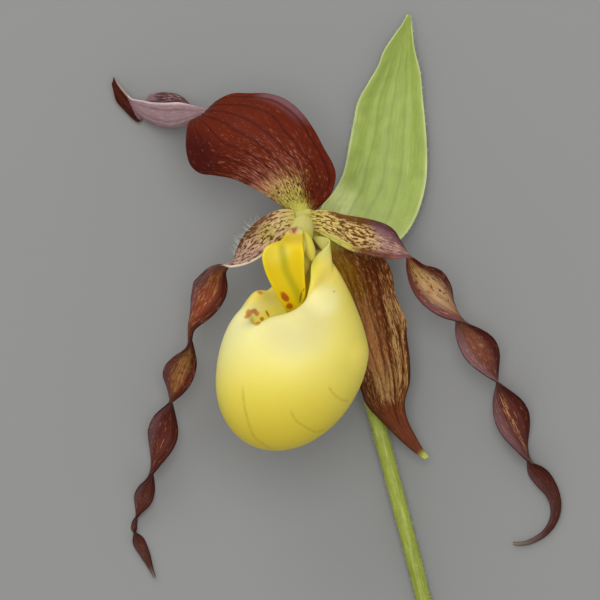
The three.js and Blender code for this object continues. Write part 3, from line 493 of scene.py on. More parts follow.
def blade_skin(surface, rows, thickness, relief, sections, strips):
    """A thin leaf or ribbon with rounded margins. Its fibres run lengthwise, in millimetres."""
    along = np.linspace(0, 1, sections + 1)[:, None]
    across = np.sin(np.linspace(-math.pi / 2, math.pi / 2, strips + 1))[None, :]
    along, across = (np.array(a) for a in np.broadcast_arrays(along, across))
    middle = surface(rows, along, across, relief)
    sideward = np.gradient(middle, axis=1)
    normal = unit(np.cross(sideward, np.gradient(middle, axis=0)))
    margin = np.clip((np.abs(across) - ROUND_FROM) / (1 - ROUND_FROM), 0, 1)
    half = thickness / 2 * (1 - MARGIN_THINNING * across**2) * np.sqrt(1 - MARGIN_ROUNDING * margin**2)
    offset = normal * half[..., None]
    length = length_along(middle[:, strips // 2])[:, None] + 0 * across
    widest = np.linalg.norm(middle[:, -1] - middle[:, 0], axis=-1).max() / 2
    fibre = np.stack([length, across * widest, 0 * across], axis=-1)
    outward = unit(sideward) * np.sign(across)[..., None]

    def both(front, back):
        return np.concatenate([side.reshape(-1, *side.shape[2:]) for side in (front, back)])

    return Skin(
        both(middle + offset, middle - offset),
        grid_faces(sections, strips),
        along=both(along, along),
        across=both(across, across),
        side=both(np.ones_like(along), -np.ones_like(along)),
        fibre=both(fibre, fibre + BACK_SHIFT),
        outward=both(outward, outward),
    )


def loops_skin(loops, start, end, **values):
    """A closed skin from loops of points and the single points that close its two ends."""
    count, around = loops.shape[:2]
    ring = np.arange(around)
    following = (ring + 1) % around
    starts = np.arange(count - 1) * around
    a, b = (np.add.outer(starts, to).ravel() for to in (ring, following))
    tip, rim = count * around + 0 * ring, (count - 1) * around
    faces = [(a, b, b + around, a + around), (tip, following, ring), (tip + 1, rim + ring, rim + following)]

    def spread(value):
        return np.concatenate([value.reshape(-1, *value.shape[2:]), value[0, :1], value[-1, :1]])

    return Skin(
        np.concatenate([loops.reshape(-1, 3), [start, end]]),
        [face for corners in faces for face in np.stack(corners, axis=1).tolist()],
        **{name: spread(value) for name, value in values.items()},
    )


def stalk_skin(stations, sections, sides, ribs=0, rib_height=0.0, blunt=0.3):
    """A round stalk along its stations, ribbed lengthwise, with ends that are domed by the share blunt."""
    along = np.linspace(0, 1, sections + 1)
    row = station_at(stations, along)
    middle, radius = row[:, 0:3], row[:, 3:4]
    tangent = unit(np.gradient(middle, axis=0))
    side = unit(np.array([1.0, 0, 0]) - tangent * tangent[:, :1])
    up = np.cross(side, tangent)
    angle = 2 * math.pi * np.arange(sides) / sides
    ridge = rib_height * np.cos(ribs * angle)[None, :] * np.sin(math.pi * along)[:, None]
    ring = side[:, None] * np.cos(angle)[None, :, None] + up[:, None] * np.sin(angle)[None, :, None]
    loops = middle[:, None] + ring * (radius + ridge)[..., None]
    girth = radius * np.minimum(angle, 2 * math.pi - angle)[None, :]
    fibre = np.stack([length_along(middle)[:, None] + 0 * girth, girth, 0 * girth], axis=-1)
    values = {"along": along[:, None] + 0 * girth, "across": 0 * girth, "fibre": fibre, "outward": ring}
    start = middle[0] - tangent[0] * radius[0] * blunt
    end = middle[-1] + tangent[-1] * radius[-1] * blunt
    return loops_skin(loops[:, ::-1], start, end, **{name: v[:, ::-1] for name, v in values.items()})


def pouch_surface(level, turn):
    """The pouch's outer skin: levels 0..1 are on the belly, 1..2 on the wall and 2..3 past the ridge."""
    angle = 2 * math.pi * turn
    across, depth = np.cos(angle), np.sin(angle)
    reach = np.stack([-POUCH_HALF_LENGTH * across, -POUCH_TILT * across, POUCH_HALF_DEPTH * depth], axis=-1)
    climb = (math.pi / 2 * (1 - np.minimum(level, 1)))[..., None]
    belly = POUCH_BELLY + (POUCH_BOTTOM - POUCH_BELLY) * np.sin(climb) + reach * np.cos(climb)
    ridge = station_at(RIDGE, turn, closed=True)
    margin = station_at(MARGIN, turn, closed=True)
    heel = np.exp(-(((turn - HEEL_TURN) / HEEL_SPREAD) ** 4))[..., None]
    target = np.stack([POUCH_MOUTH[0] + 0 * turn, ridge[..., 1], POUCH_MOUTH[2] + 0 * turn], axis=-1)
    fold = margin - ridge
    lean = unit(unit(target - ridge) * (1 - heel) + unit(fold) * heel)
    shoulder = unit(lean + HEEL_SHOULDER * heel) * TURN_BELOW_RIDGE
    pull = np.minimum(TURN_AT_RIDGE, LONGEST_PULL * np.linalg.norm(fold, axis=-1, keepdims=True))
    level = level[..., None]
    wall = hermite(POUCH_BELLY + reach, RISE_FROM_BELLY, ridge, shoulder, np.clip(level - 1, 0, 1))
    rim = hermite(ridge, lean * pull, margin, fold * FALL_TO_MARGIN, np.clip(level - 2, 0, 1))
    return np.where(level <= 1, belly, np.where(level <= 2, wall, rim))


def pouch_skin(wall, around):
    """The pouch as one closed wall: its outer skin up to the margin, and the skin inside it back down."""
    stretches = [np.linspace(*stretch) for stretch in LOOP_LEVELS]
    levels = np.concatenate([stretches[0], *(stretch[1:] for stretch in stretches[1:])])
    turns = np.arange(around) / around
    level, turn = (np.array(a) for a in np.broadcast_arrays(levels[:, None], turns[None, :]))
    step = 0.01
    outside = pouch_surface(level, turn)
    upward = pouch_surface(np.minimum(3, level + step), turn) - pouch_surface(level - step, turn)
    onward = pouch_surface(level, (turn + step) % 1) - pouch_surface(level, (turn - step) % 1)
    normal = unit(np.cross(onward, upward))
    thin = 1 - FOLD_THINNING * np.clip(level - 2, 0, 1)[..., None]

    def up_and_down(out, back):
        return np.concatenate([out, back[::-1]])

    return loops_skin(
        up_and_down(outside, outside - normal * wall * thin),
        POUCH_BOTTOM,
        POUCH_BOTTOM + np.array([0, wall, 0]),
        level=up_and_down(level, level),
        turn=up_and_down(turn, turn),
        within=up_and_down(np.zeros_like(level), np.ones_like(level)),
    )


# ---- pieces on the flower's body ----


def new_object(name, data):
    """A new object in the scene."""
    thing = bpy.data.objects.new(name, data)
    bpy.context.scene.collection.objects.link(thing)
    return thing


def add_piece(name, mesh):
    """Puts a mesh on the flower's body."""
    piece = new_object(name, mesh)
    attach(piece, BODY)
    return piece


def add_skin(name, skin, material, node):
    """Puts a skin on the flower's body as a smooth mesh, inside the model's box and in place of its node."""
    mesh = bpy.data.meshes.new(name)
    mesh.from_pydata(np.clip((skin.points + HUB) * METRES, *MODEL_BOX).tolist(), [], skin.faces)
    for key, value in skin.values.items():
        kind, field = ("FLOAT_VECTOR", "vector") if value.ndim == 2 else ("FLOAT", "value")
        stored = mesh.attributes.new(key, kind, "POINT")
        stored.data.foreach_set(field, value.astype(np.float32).ravel())
    mesh.shade_smooth()
    mesh.materials.append(material)
    piece = add_piece(name, mesh)
    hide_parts(node)
    return piece


# ---- nodes ----


def put(tree, kind, inputs=None, **settings):
    """Adds a node, with its settings, and its inputs as plain values or as sockets to link."""
    node = tree.nodes.new(kind)
    for key, value in settings.items():
        setattr(node, key, value)
    for key, value in (inputs or {}).items():
        if isinstance(value, bpy.types.NodeSocket):
            tree.links.new(value, node.inputs[key])
        else:
            node.inputs[key].default_value = value
    return node


def sums(tree, operation, *values):
    """The result of a Math node."""
    return put(tree, "ShaderNodeMath", dict(enumerate(values)), operation=operation).outputs[0]


def vectors(tree, operation, *values, **named):
    """The vector from a Vector Math node."""
    inputs = {**dict(enumerate(values)), **named}
    return put(tree, "ShaderNodeVectorMath", inputs, operation=operation).outputs[0]


def mixed(tree, amount, low, high):
    """Two colours mixed."""
    return put(tree, "ShaderNodeMix", {0: amount, 6: low, 7: high}, data_type="RGBA").outputs[2]


def eased(tree, value, low, high):
    """A smooth step from 0 at low to 1 at high, where both may be sockets."""
    inputs = {"Value": value, "From Min": low, "From Max": high}
    return put(tree, "ShaderNodeMapRange", inputs, interpolation_type="SMOOTHSTEP").outputs[0]


def noise(tree, place, scale, detail, roughness=0.5):
    """Smooth noise round 0.5."""
    inputs = {"Vector": place, "Scale": scale, "Detail": detail, "Roughness": roughness}
    return put(tree, "ShaderNodeTexNoise", inputs).outputs[0]


def wavering(tree, place, scale, detail, size):
    """Noise round 0, of a size that may be a socket."""
    return sums(tree, "MULTIPLY", sums(tree, "SUBTRACT", noise(tree, place, scale, detail), 0.5), size)


def attribute(tree, name):
    """An attribute's outputs."""
    return put(tree, "ShaderNodeAttribute", attribute_name=name).outputs


def fill_streaks(tree, given):
    """Streaks along the fibres, covering the share Amount of the surface."""
    size = put(tree, "ShaderNodeCombineXYZ", {"X": given["Length"], "Y": given["Width"], "Z": 1.0}).outputs[0]
    shift = put(tree, "ShaderNodeCombineXYZ", {"Z": given["Seed"]}).outputs[0]
    spot = vectors(tree, "ADD", vectors(tree, "DIVIDE", given["Fibre"], size), shift)
    middle = sums(tree, "MULTIPLY_ADD", given["Amount"], -NOISE_SPAN, NOISE_TOP)
    low, high = (sums(tree, way, middle, given["Softness"]) for way in ("SUBTRACT", "ADD"))
    return {"Mask": eased(tree, noise(tree, spot, 1.0, 2.5, 0.6), low, high)}


def fill_ribs(tree, given):
    """Fine lengthwise lines, Count of them from margin to margin, that waver a little."""
    slow = vectors(tree, "MULTIPLY", given["Fibre"], (0.12, 0.25, 1.0))
    off = wavering(tree, slow, 1.0, 1.0, given["Waver"])
    half = sums(tree, "MULTIPLY", given["Count"], 0.5)
    line = sums(tree, "ADD", sums(tree, "MULTIPLY_ADD", given["Across"], half, half), off)
    apart = sums(tree, "ABSOLUTE", sums(tree, "SUBTRACT", sums(tree, "FRACT", line), 0.5))
    return {"Mask": eased(tree, apart, given["Width"], 0.0)}


def fill_spot(tree, given):
    """An oval spot with a ragged edge, round a place in millimetres."""
    names = {"Vector": "Place", "Location": "Centre", "Rotation": "Turn", "Scale": "Half Size"}
    inputs = {key: given[name] for key, name in names.items()}
    local = put(tree, "ShaderNodeMapping", inputs, vector_type="TEXTURE").outputs[0]
    flat = vectors(tree, "MULTIPLY", local, (1, 1, 0))
    reach = put(tree, "ShaderNodeVectorMath", {0: flat}, operation="LENGTH").outputs["Value"]
    edge = sums(tree, "ADD", reach, wavering(tree, given["Place"], 1.6, 2.0, given["Ragged"]))
    outer = sums(tree, "ADD", given["Softness"], 1.0)
    inner = sums(tree, "SUBTRACT", 1.0, given["Softness"])
    return {"Mask": eased(tree, edge, outer, inner)}


def fill_grain(tree, given):
    """A surface's fine grain: its normal, and how much lighter or darker each place is."""
    fine = noise(tree, given["Fibre"], given["Fineness"], 3.0)
    height = sums(tree, "MULTIPLY_ADD", fine, 0.25, given["Height"])
    bumps = {"Strength": given["Strength"], "Distance": 0.12 * METRES, "Height": height}
    tone = sums(tree, "MULTIPLY_ADD", noise(tree, given["Fibre"], 0.35, 2.0), 0.4, 0.8)
    return {"Normal": put(tree, "ShaderNodeBump", bumps).outputs[0], "Tone": tone}


def fill_hairs(tree, given):
    """Curved, tapering hairs where the attribute hair is above 0, combed along the attribute outward."""
    kinds = {"hair": "FLOAT", "outward": "FLOAT_VECTOR"}
    amount, outward = (
        put(tree, "GeometryNodeInputNamedAttribute", {"Name": name}, data_type=kind).outputs[0]
        for name, kind in kinds.items()
    )
    density = sums(tree, "MULTIPLY", amount, given["Density"])
    inputs = {"Mesh": given["Geometry"], "Density": density, "Seed": given["Seed"]}
    roots = put(tree, "GeometryNodeDistributePointsOnFaces", inputs).outputs
    inputs = {"Min": (-1, -1, -1), "Max": (1, 1, 1), "Seed": given["Seed"]}
    stray = put(tree, "FunctionNodeRandomValue", inputs, data_type="FLOAT_VECTOR").outputs[0]
    combed = vectors(tree, "SCALE", outward, Scale=given["Comb"])
    strayed = vectors(tree, "SCALE", stray, Scale=given["Lean"])
    heading = vectors(tree, "ADD", vectors(tree, "ADD", roots["Normal"], combed), strayed)
    upright = put(tree, "FunctionNodeAlignRotationToVector", {"Vector": heading}, axis="Z").outputs[0]
    shape = {"Resolution": 4, "Start": (0, 0, 0), "Middle": (0, 0, 0.6), "End": (0.28, 0, 0.96)}
    spine = put(tree, "GeometryNodeCurveQuadraticBezier", shape).outputs[0]
    taper = put(tree, "GeometryNodeSplineParameter").outputs["Factor"]
    girth = sums(tree, "DIVIDE", sums(tree, "MULTIPLY", given["Width"], 0.5), given["Length"])
    ring = put(tree, "GeometryNodeCurvePrimitiveCircle", {"Resolution": 3, "Radius": girth}).outputs[0]
    narrowing = sums(tree, "MULTIPLY_ADD", taper, -0.8, 1.0)
    inputs = {"Curve": spine, "Profile Curve": ring, "Scale": narrowing, "Fill Caps": True}
    tube = put(tree, "GeometryNodeCurveToMesh", inputs).outputs[0]
    shortest = sums(tree, "MULTIPLY", given["Length"], sums(tree, "SUBTRACT", 1.0, given["Spread"]))
    inputs = {2: shortest, 3: given["Length"]}
    length = put(tree, "FunctionNodeRandomValue", inputs, data_type="FLOAT").outputs[1]
    inputs = {"Points": roots["Points"], "Instance": tube, "Rotation": upright, "Scale": length}
    grown = put(tree, "GeometryNodeInstanceOnPoints", inputs).outputs[0]
    real = put(tree, "GeometryNodeRealizeInstances", {"Geometry": grown}).outputs[0]
    finish = {"Geometry": real, "Material": given["Finish"]}
    return {"Geometry": put(tree, "GeometryNodeSetMaterial", finish).outputs[0]}


# Each group's tree, its inputs and outputs, and what fills it. A socket has its default, or else its kind.
ORIGIN = (0, 0, 0)
STREAKS = {"Fibre": ORIGIN, "Length": 1.0, "Width": 0.2, "Amount": 0.5, "Softness": 0.05, "Seed": 0.0}
RIBS = {"Fibre": ORIGIN, "Across": 0.0, "Count": 6.0, "Width": 0.2, "Waver": 0.3}
SPOT = {"Place": ORIGIN, "Centre": ORIGIN, "Half Size": (1, 1, 1), "Turn": ORIGIN}
SPOT |= {"Softness": 0.3, "Ragged": 0.5}
GRAIN = {"Fibre": ORIGIN, "Height": 0.0, "Fineness": 3.0, "Strength": 0.3}
HAIRS = {
    "Geometry": "Geometry",
    **dict.fromkeys(("Density", "Length", "Width", "Spread", "Comb", "Lean"), "Float"),
    "Seed": "Int",
    "Finish": "Material",
}
GROUPS = {
    "Streaks": ("ShaderNodeTree", STREAKS, {"Mask": "Float"}, fill_streaks),
    "Ribs": ("ShaderNodeTree", RIBS, {"Mask": "Float"}, fill_ribs),
    "Spot": ("ShaderNodeTree", SPOT, {"Mask": "Float"}, fill_spot),
    "Grain": ("ShaderNodeTree", GRAIN, {"Normal": "Vector", "Tone": "Float"}, fill_grain),
    "Hairs": ("GeometryNodeTree", HAIRS, {"Geometry": "Geometry"}, fill_hairs),
}


def group(name):
    """A group from the table, made when it is first asked for."""
    if name in bpy.data.node_groups:
        return bpy.data.node_groups[name]
    tree_kind, inputs, outputs, fill = GROUPS[name]
    tree = bpy.data.node_groups.new(name, tree_kind)
    for way, sockets in (("INPUT", inputs), ("OUTPUT", outputs)):
        for label, value in sockets.items():
            kind = value if isinstance(value, str) else "Vector" if isinstance(value, tuple) else "Float"
            socket = tree.interface.new_socket(label, in_out=way, socket_type="NodeSocket" + kind)
            if kind != value:
                socket.default_value = value
    put(tree, "NodeGroupOutput", fill(tree, put(tree, "NodeGroupInput").outputs))
    return tree


def group_node(tree, name, **inputs):
    """The outputs of a group placed in a tree. Input names are given with _ for a space."""
    inputs = {key.replace("_", " "): value for key, value in inputs.items()}
    return put(tree, "ShaderNodeGroup", inputs, node_tree=group(name)).outputs


# ---- finishes ----

DULL = {"Specular IOR Level": 0.05}
SHEER = {"Subsurface Weight": 0.1, "Subsurface Scale": 1 * METRES}
WAXY = {
    "Subsurface Weight": 0.8,
    "Subsurface Radius": (1.0, 0.85, 0.35),
    "Subsurface Scale": 0.8 * METRES,
    "Specular IOR Level": 0.2,
}


def new_material(name, roughness, settings):
    """A material, its node tree and its surface shader, with settings on the shader's own sockets."""
    material = bpy.data.materials.new(name)
    material.use_nodes = True
    tree = material.node_tree
    shader = tree.nodes["Principled BSDF"]
    for key, value in {"Roughness": roughness, **settings}.items():
        shader.inputs[key].default_value = value
    return material, tree, shader


def tissue_material(name, streak, dash, ribs, settings, roughness=0.5, grain=0.35):
    """Petal or sepal tissue: its painted ground, with pale streaks, dark dashes and darker ribs over it.

    streak and dash hold a length, a width, a softness and a seed, and ribs a count, a width and a waver. How
    much there is of each comes from the attribute amounts.
    """
    material, tree, shader = new_material(name, roughness, settings)
    fibre = attribute(tree, "fibre")["Vector"]
    ground, pale, dark = (attribute(tree, key)["Color"] for key in ("ground", "pale", "dark"))
    amounts = put(tree, "ShaderNodeSeparateXYZ", {0: attribute(tree, "amounts")["Vector"]}).outputs
    masks = []
    for amount, values in zip(amounts, (streak, dash)):
        named = dict(zip(("Length", "Width", "Softness", "Seed"), values))
        masks.append(group_node(tree, "Streaks", Fibre=fibre, Amount=amount, **named)["Mask"])
    named = dict(zip(("Count", "Width", "Waver"), ribs))
    lines = group_node(tree, "Ribs", Fibre=fibre, Across=attribute(tree, "across")["Fac"], **named)["Mask"]
    lines = sums(tree, "MULTIPLY", lines, amounts[2])
    colour = mixed(tree, masks[1], mixed(tree, masks[0], ground, pale), dark)
    colour = mixed(tree, lines, colour, dark)
    raised = sums(tree, "MULTIPLY", masks[0], 0.25)
    height = sums(tree, "SUBTRACT", raised, sums(tree, "MULTIPLY", lines, 0.9))
    skin = group_node(tree, "Grain", Fibre=fibre, Height=height, Strength=grain)
    tree.links.new(vectors(tree, "SCALE", colour, Scale=skin["Tone"]), shader.inputs["Base Color"])
    tree.links.new(skin["Normal"], shader.inputs["Normal"])
    return material


def wax_material(name, spots, roughness):
    """Waxy tissue with spots: each is x, y, half length, half width, turn in degrees, colour and strength."""
    material, tree, shader = new_material(name, roughness, WAXY)
    coordinates = put(tree, "ShaderNodeTexCoord").outputs["Object"]
    scaled = vectors(tree, "MULTIPLY", coordinates, (1 / METRES,) * 3)
    place = vectors(tree, "SUBTRACT", scaled, tuple(HUB))
    colour = attribute(tree, "ground")["Color"]
    share = attribute(tree, "spotted")["Fac"]
    for x, y, length, width, turn, tone, strength in spots:
        shape = {"Centre": (x, y, 0), "Half_Size": (length, width, 1), "Turn": (0, 0, math.radians(turn))}
        mask = group_node(tree, "Spot", Place=place, **shape)["Mask"]
        amount = sums(tree, "MULTIPLY", sums(tree, "MULTIPLY", mask, share), strength)
        colour = mixed(tree, amount, colour, (*light(tone), 1))
    skin = group_node(tree, "Grain", Fibre=place, Height=0.0, Fineness=1.4, Strength=0.12)
    tree.links.new(colour, shader.inputs["Base Color"])
    tree.links.new(skin["Normal"], shader.inputs["Normal"])
    return material


def plain_material(name, colour, roughness=0.5):
    """One colour all over."""
    return new_material(name, roughness, {"Base Color": (*light(colour), 1)})[0]


# ---- sizes and colours that a user would change ----


def swatch(name, description, *display):
    """A colour property."""
    return bpy.props.FloatVectorProperty(
        name=name, description=description, subtype="COLOR", size=3, min=0, max=1, default=linear(*display)
    )


def millimetres(name, description, default):
    """A length property, kept in metres."""
    return bpy.props.FloatProperty(
        name=name, description=description, subtype="DISTANCE", unit="LENGTH", min=0, default=default * METRES
    )


class OrchidSizes(bpy.types.PropertyGroup):
    """Thicknesses and hairs."""

    petal: millimetres("Petal", "Thickness of the petals", 0.55)
    sepal: millimetres("Sepal", "Thickness of the sepals", 0.6)
    bract: millimetres("Bract", "Thickness of the bract", 0.55)
    pouch: millimetres("Pouch", "Thickness of the pouch's wall", 0.8)
    short_hair: millimetres("Short Hair", "Length of the hairs on stem, ovary and bract", 0.55)
    long_hair: millimetres("Long Hair", "Length of the hairs at the petals' bases", 2.2)
    hair_width: millimetres("Hair Width", "Thickness of a hair at its root", 0.07)


class OrchidColours(bpy.types.PropertyGroup):
    """The flower's colours."""

    # cream is a painted highlight, amber at the bottom is partly painted shade, and olive is painted shade in
    # the shield's groove
    cream: swatch("Cream", "Pouch round its mouth", 232, 226, 158)
    lemon: swatch("Lemon", "Pouch on its belly", 224, 209, 88)
    amber: swatch("Amber", "Pouch at its bottom", 212, 188, 46)
    gold: swatch("Gold", "Shield over the pouch's mouth", 215, 188, 8)
    olive: swatch("Olive", "Groove of the shield", 170, 160, 8)
    rust: swatch("Rust", "Spots on the shield and in the pouch", 168, 66, 14)
    ochre: swatch("Ochre", "Paler spots in the pouch", 205, 130, 50)
    wine: swatch("Wine", "Upper sepal", 92, 30, 12)
    plum: swatch("Plum", "Upper sepal's shaded lobe and dark veins", 64, 16, 12)
    rose: swatch("Rose", "Back of the upper sepal", 142, 114, 116)
    bark: swatch("Bark", "Lower sepal", 94, 42, 12)
    tan: swatch("Tan", "Streaks at the petals' bases", 190, 146, 88)
    lime: swatch("Lime", "Foot of the upper sepal", 190, 184, 84)
    leaf: swatch("Leaf", "Bract", 143, 160, 73)
    moss: swatch("Moss", "Veins of the bract", 128, 144, 58)
    stem: swatch("Stem", "Stem", 142, 152, 46)
    down: swatch("Down", "Hairs", 222, 224, 205)


class OrchidStage(bpy.types.PropertyGroup):
    """Camera, floor and light."""

    lens: bpy.props.FloatProperty(name="Lens", description="Focal length", unit="CAMERA", default=1200)
    height: bpy.props.FloatProperty(
        name="Height", description="Camera above the surface", unit="LENGTH", subtype="DISTANCE", default=4.02
    )
    floor: swatch("Floor", "Surface that the flower lies on", 131, 131, 130)
    key: bpy.props.FloatProperty(name="Key", description="Power of the main light", unit="POWER", default=13)
    fill: bpy.props.FloatProperty(name="Fill", description="Power of the low light", unit="POWER", default=7)
    sky: bpy.props.FloatProperty(name="Sky", description="Strength of the light from all round", default=0.58)


def sizes():
    """The flower's sizes, in millimetres, by name."""
    chosen = bpy.context.scene.orchid_sizes
    return {key: getattr(chosen, key) / METRES for key in OrchidSizes.__annotations__}


def colours():
    """The flower's colours, by name."""
    chosen = bpy.context.scene.orchid_colours
    return {key: np.array(getattr(chosen, key)) for key in OrchidColours.__annotations__}


# ---- painting: ground colours and amounts of pattern ----


def paint(skin, ground, pale, dark, streaks, dashes, ribs, hair=0.0):
    """Stores a skin's colours, its amounts of streaks, dashes and ribs, and where hairs grow."""
    amounts = np.stack(np.broadcast_arrays(streaks, dashes, ribs), axis=1)
    skin.keep(ground=ground, pale=pale, dark=dark, amounts=amounts, hair=hair)


def paint_dorsal_sepal(skin, c):
    """Wine red with dark veins. Pale streaks fan out from the base, and the tail shows its rosy back."""
    points, along, across, front = skin.points, skin.along, skin.across, skin.side > 0
    reach = (points[:, :2] - FAN_ROOT).T
    distance = np.hypot(*reach)
    lean = np.degrees(np.arctan2(*reach)) - FAN_LEAN
    fan = np.maximum(fall(np.abs(lean), 24, 56), fall(distance, 1.5, 4.5))
    ground = layered(
        c["wine"],
        # painted shade: the lower-left lobe darker plum, where it curls under
        (c["plum"], 0.95 * near(points, -22.5, 12.5, 8.5)),
        # painted sheen: a grey-mauve band along the upper margin, where it curls back
        ((122, 92, 98), 0.6 * ramp(across, 0.72, 0.94) * between(along, 0.25, 0.3, 0.36, 0.41)),
        ((118, 72, 28), 0.9 * fan * fall(distance, 4, 9.5)),
        (c["lime"], 0.9 * fall(distance, 0.5, 3.2)),
    )
    limed = fall(distance, 2, 8)
    pale = layered((186, 124, 102), ((204, 166, 108), fall(distance, 6, 11)), (c["lime"], limed))
    streaks = np.interp(distance + 0.08 * lean, *FAN_STREAKS) * (0.3 + 0.7 * fan)
    dashes = 0.42 * between(distance, 0.6, 2.4, 6, 10)
    ribs = 0.7 * ramp(distance, 4, 10)

    behind = between(along, 0.6, 0.62, 0.72, 0.8) * front
    tip = ramp(along + 0.018 * across, 0.866, 0.88)
    rosy = layered(
        c["rose"],
        ((78, 47, 45), behind),
        ((112, 84, 86), 0.7 * ramp(across, 0.2, 0.9) * ~front),
        ((120, 94, 98), 0.6 * ramp(across, -0.46, -0.38) * (1 - behind)),
        ((206, 184, 186), 0.8 * ramp(-across, 0.95, 0.985) * ramp(along, 0.6, 0.66) * (1 - behind)),
        ((74, 46, 46), 0.95 * fall(np.abs(across), 0.02, 0.1) * between(along, 0.64, 0.68, 0.84, 0.87)),
        ((50, 18, 12), tip),
        ((92, 32, 20), 0.6 * tip * fall(np.abs(across + 0.2), 0.1, 0.6)),
        ((178, 158, 138), 0.7 * tip * ramp(np.abs(across), 0.78, 0.95)),
    )
    under = np.maximum(ramp(along, 0.52, 0.56), ~front)  # the tail and all of the back
    ground = layered(ground, (rosy, under))
    pale = layered(pale, ((164, 140, 142), under))
    streaks = blend(streaks, 0.3, under) * (1 - tip)
    paint(skin, ground, pale, c["plum"], streaks, dashes * (1 - under), blend(ribs, 0.3, under))


def paint_synsepal(skin, c):
    """Bark brown, mottled tan between dark red veins, with a dark margin and a green tip."""
    points, along, across = skin.points, skin.along, skin.across
    veins = np.zeros(len(points))
    for line, strength in SYNSEPAL_VEINS:
        start, end = line[0][0], line[-1][0]
        away = np.abs(across - np.interp(along, *zip(*line)))
        ends = between(along, start, start + 0.06, end - 0.06, end)
        veins = np.maximum(veins, strength * ends * fall(away, 0.015, 0.06))
    margin = ramp(np.abs(across), 0.88, 0.96) * ramp(along, 0.4, 0.46)
    ground = layered(
        c["bark"],
        ((146, 104, 8), 0.85 * fall(across, -0.2, 0.5) * fall(along, 0.2, 0.4)),
        # a paler middle: partly its own colour and partly painted light, lifting the shade that the pouch
        # casts
        ((168, 112, 66), 0.8 * bump(along, 0.24, 0.62) * bump(across, -0.5, 0.4)),
        ((100, 54, 36), 0.8 * ramp(along, 0.66, 0.8)),
        ((74, 40, 12), 0.8 * ramp(-across, 0.3, 0.8) * ramp(along, 0.48, 0.56)),
        ((74, 30, 10), veins),
        ((196, 196, 70), fall(along, 0.06, 0.13)),
        ((58, 26, 16), 0.85 * margin),
        ((66, 28, 20), near(points, 21.3, -20.2, 1.0)),
        ((196, 210, 100), near(points, 25.2, -47.8, 3.0)),
    )
    mottled = bump(along, 0.2, 0.72) * ramp(across, 0.35, 0.6)
    mottled = mottled + 0.9 * bump(along, 0.46, 0.72) * bump(across, -0.6, 0.7)
    streaks = (0.26 + 0.32 * np.clip(mottled, 0, 1)) * (1 - 0.9 * veins) * (1 - margin)
    pale = layered((174, 136, 84), ((136, 74, 50), ramp(along, 0.64, 0.74)))
    paint(skin, ground, pale, (74, 30, 8), streaks, 0.22, 0.6 * ramp(along, 0.1, 0.2))


def paint_petal(skin, c, stops, side, band_tone, start, end, inner):
    """Tones from the stops, and along one side of the base a plain band.

    The band is at side -1 or 1, from start to end of the length, and as wide as its inner edge leaves.
    """
    points, along, across = skin.points, skin.along, skin.across
    places, middles, margins, *amounts = zip(*stops)
    streaks, dashes, sheen = (np.interp(along, places, amount) for amount in amounts)
    middle, margin = (
        np.stack([np.interp(along, places, part) for part in zip(*(linear(*tone) for tone in tones))], axis=1)
        for tones in (middles, margins)
    )
    rim = ramp(np.abs(across), 0.22, 0.7)
    band = ramp(side * across, inner, inner + 0.1) * between(along, start, start + 0.03, end - 0.03, end)
    edge = between(along, 0.03, 0.07, 0.17, 0.2) * ramp(-side * across, 0.5, 0.9)
    if side > 0:
        pink = ramp(along - 0.04 * across, 0.14, 0.165) * fall(along, 0.21, 0.23)
        blotch = 0.8 * between(along, 0.09, 0.11, 0.17, 0.19) * ramp(across, 0.55, 0.8)
        tints = [((118, 80, 90), 0.8 * pink), ((76, 44, 56), 0.8 * pink * ramp(-across, 0.5, 0.9))]
    else:
        pink = 0 * along
        blotch = 0.3 * np.maximum(near(points, -10.2, -1.4, 2.0), near(points, -9.4, -3.6, 1.4))
        tints = [
            ((176, 160, 78), 0.7 * near(points, -7.2, -2.2, 2.8)),
            ((150, 122, 114), 0.5 * near(points, -10.0, -7.0, 3.4)),
        ]
    to_right = -skin.side * across  # 1 at the margin that lies to the flower's right, seen from above
    turned = ramp(along, 0.2, 0.23)  # beyond the base, where the ribbon twists
    sheen = sheen * ramp(-to_right, 0.25, 0.7)
    ground = layered(
        layered(middle, (margin, rim)),
        ((98, 44, 36), 0.85 * edge),
        *tints,
        ((86, 34, 24), blotch),
        ((122, 92, 98), sheen),
        # painted shade: the half of each turn that lies to the flower's right, across from the painted sheen
        ((54, 18, 12), 0.8 * turned * ramp(to_right, 0.4, 0.85)),
        ((44, 18, 18), 0.75 * turned * ramp(np.abs(across), 0.93, 0.985)),
        (band_tone, band),
    )
    streaks = streaks * (1 - 0.6 * rim) + 0.2 * sheen * turned
    streaks = streaks + 0.22 * pink * between(across, -0.6, -0.2, 0.5, 0.8)
    if side > 0:
        streaks = streaks + 0.3 * bump(along, 0.53, 0.68) * fall(np.abs(to_right + 0.1), 0.05, 0.25)
    dashes = dashes * (1 - 0.6 * band) * (1 - 0.4 * pink) + 0.12 * edge
    hair = ramp(across, 0.5, 0.9) * between(along, 0.06, 0.1, 0.17, 0.2)
    hair = hair + 0.05 * ramp(np.abs(across), 0.8, 1) * between(along, 0.05, 0.1, 0.14, 0.2)
    dark = layered((98, 62, 20), ((84, 36, 24), ramp(along, 0.1, 0.2)), ((112, 54, 34), turned))
    pale = layered(c["tan"], ((178, 130, 86), turned), ((208, 168, 142), pink))
    paint(skin, ground, pale, dark, streaks, dashes, 0.3, hair * (side < 0) + 0.05 * hair)


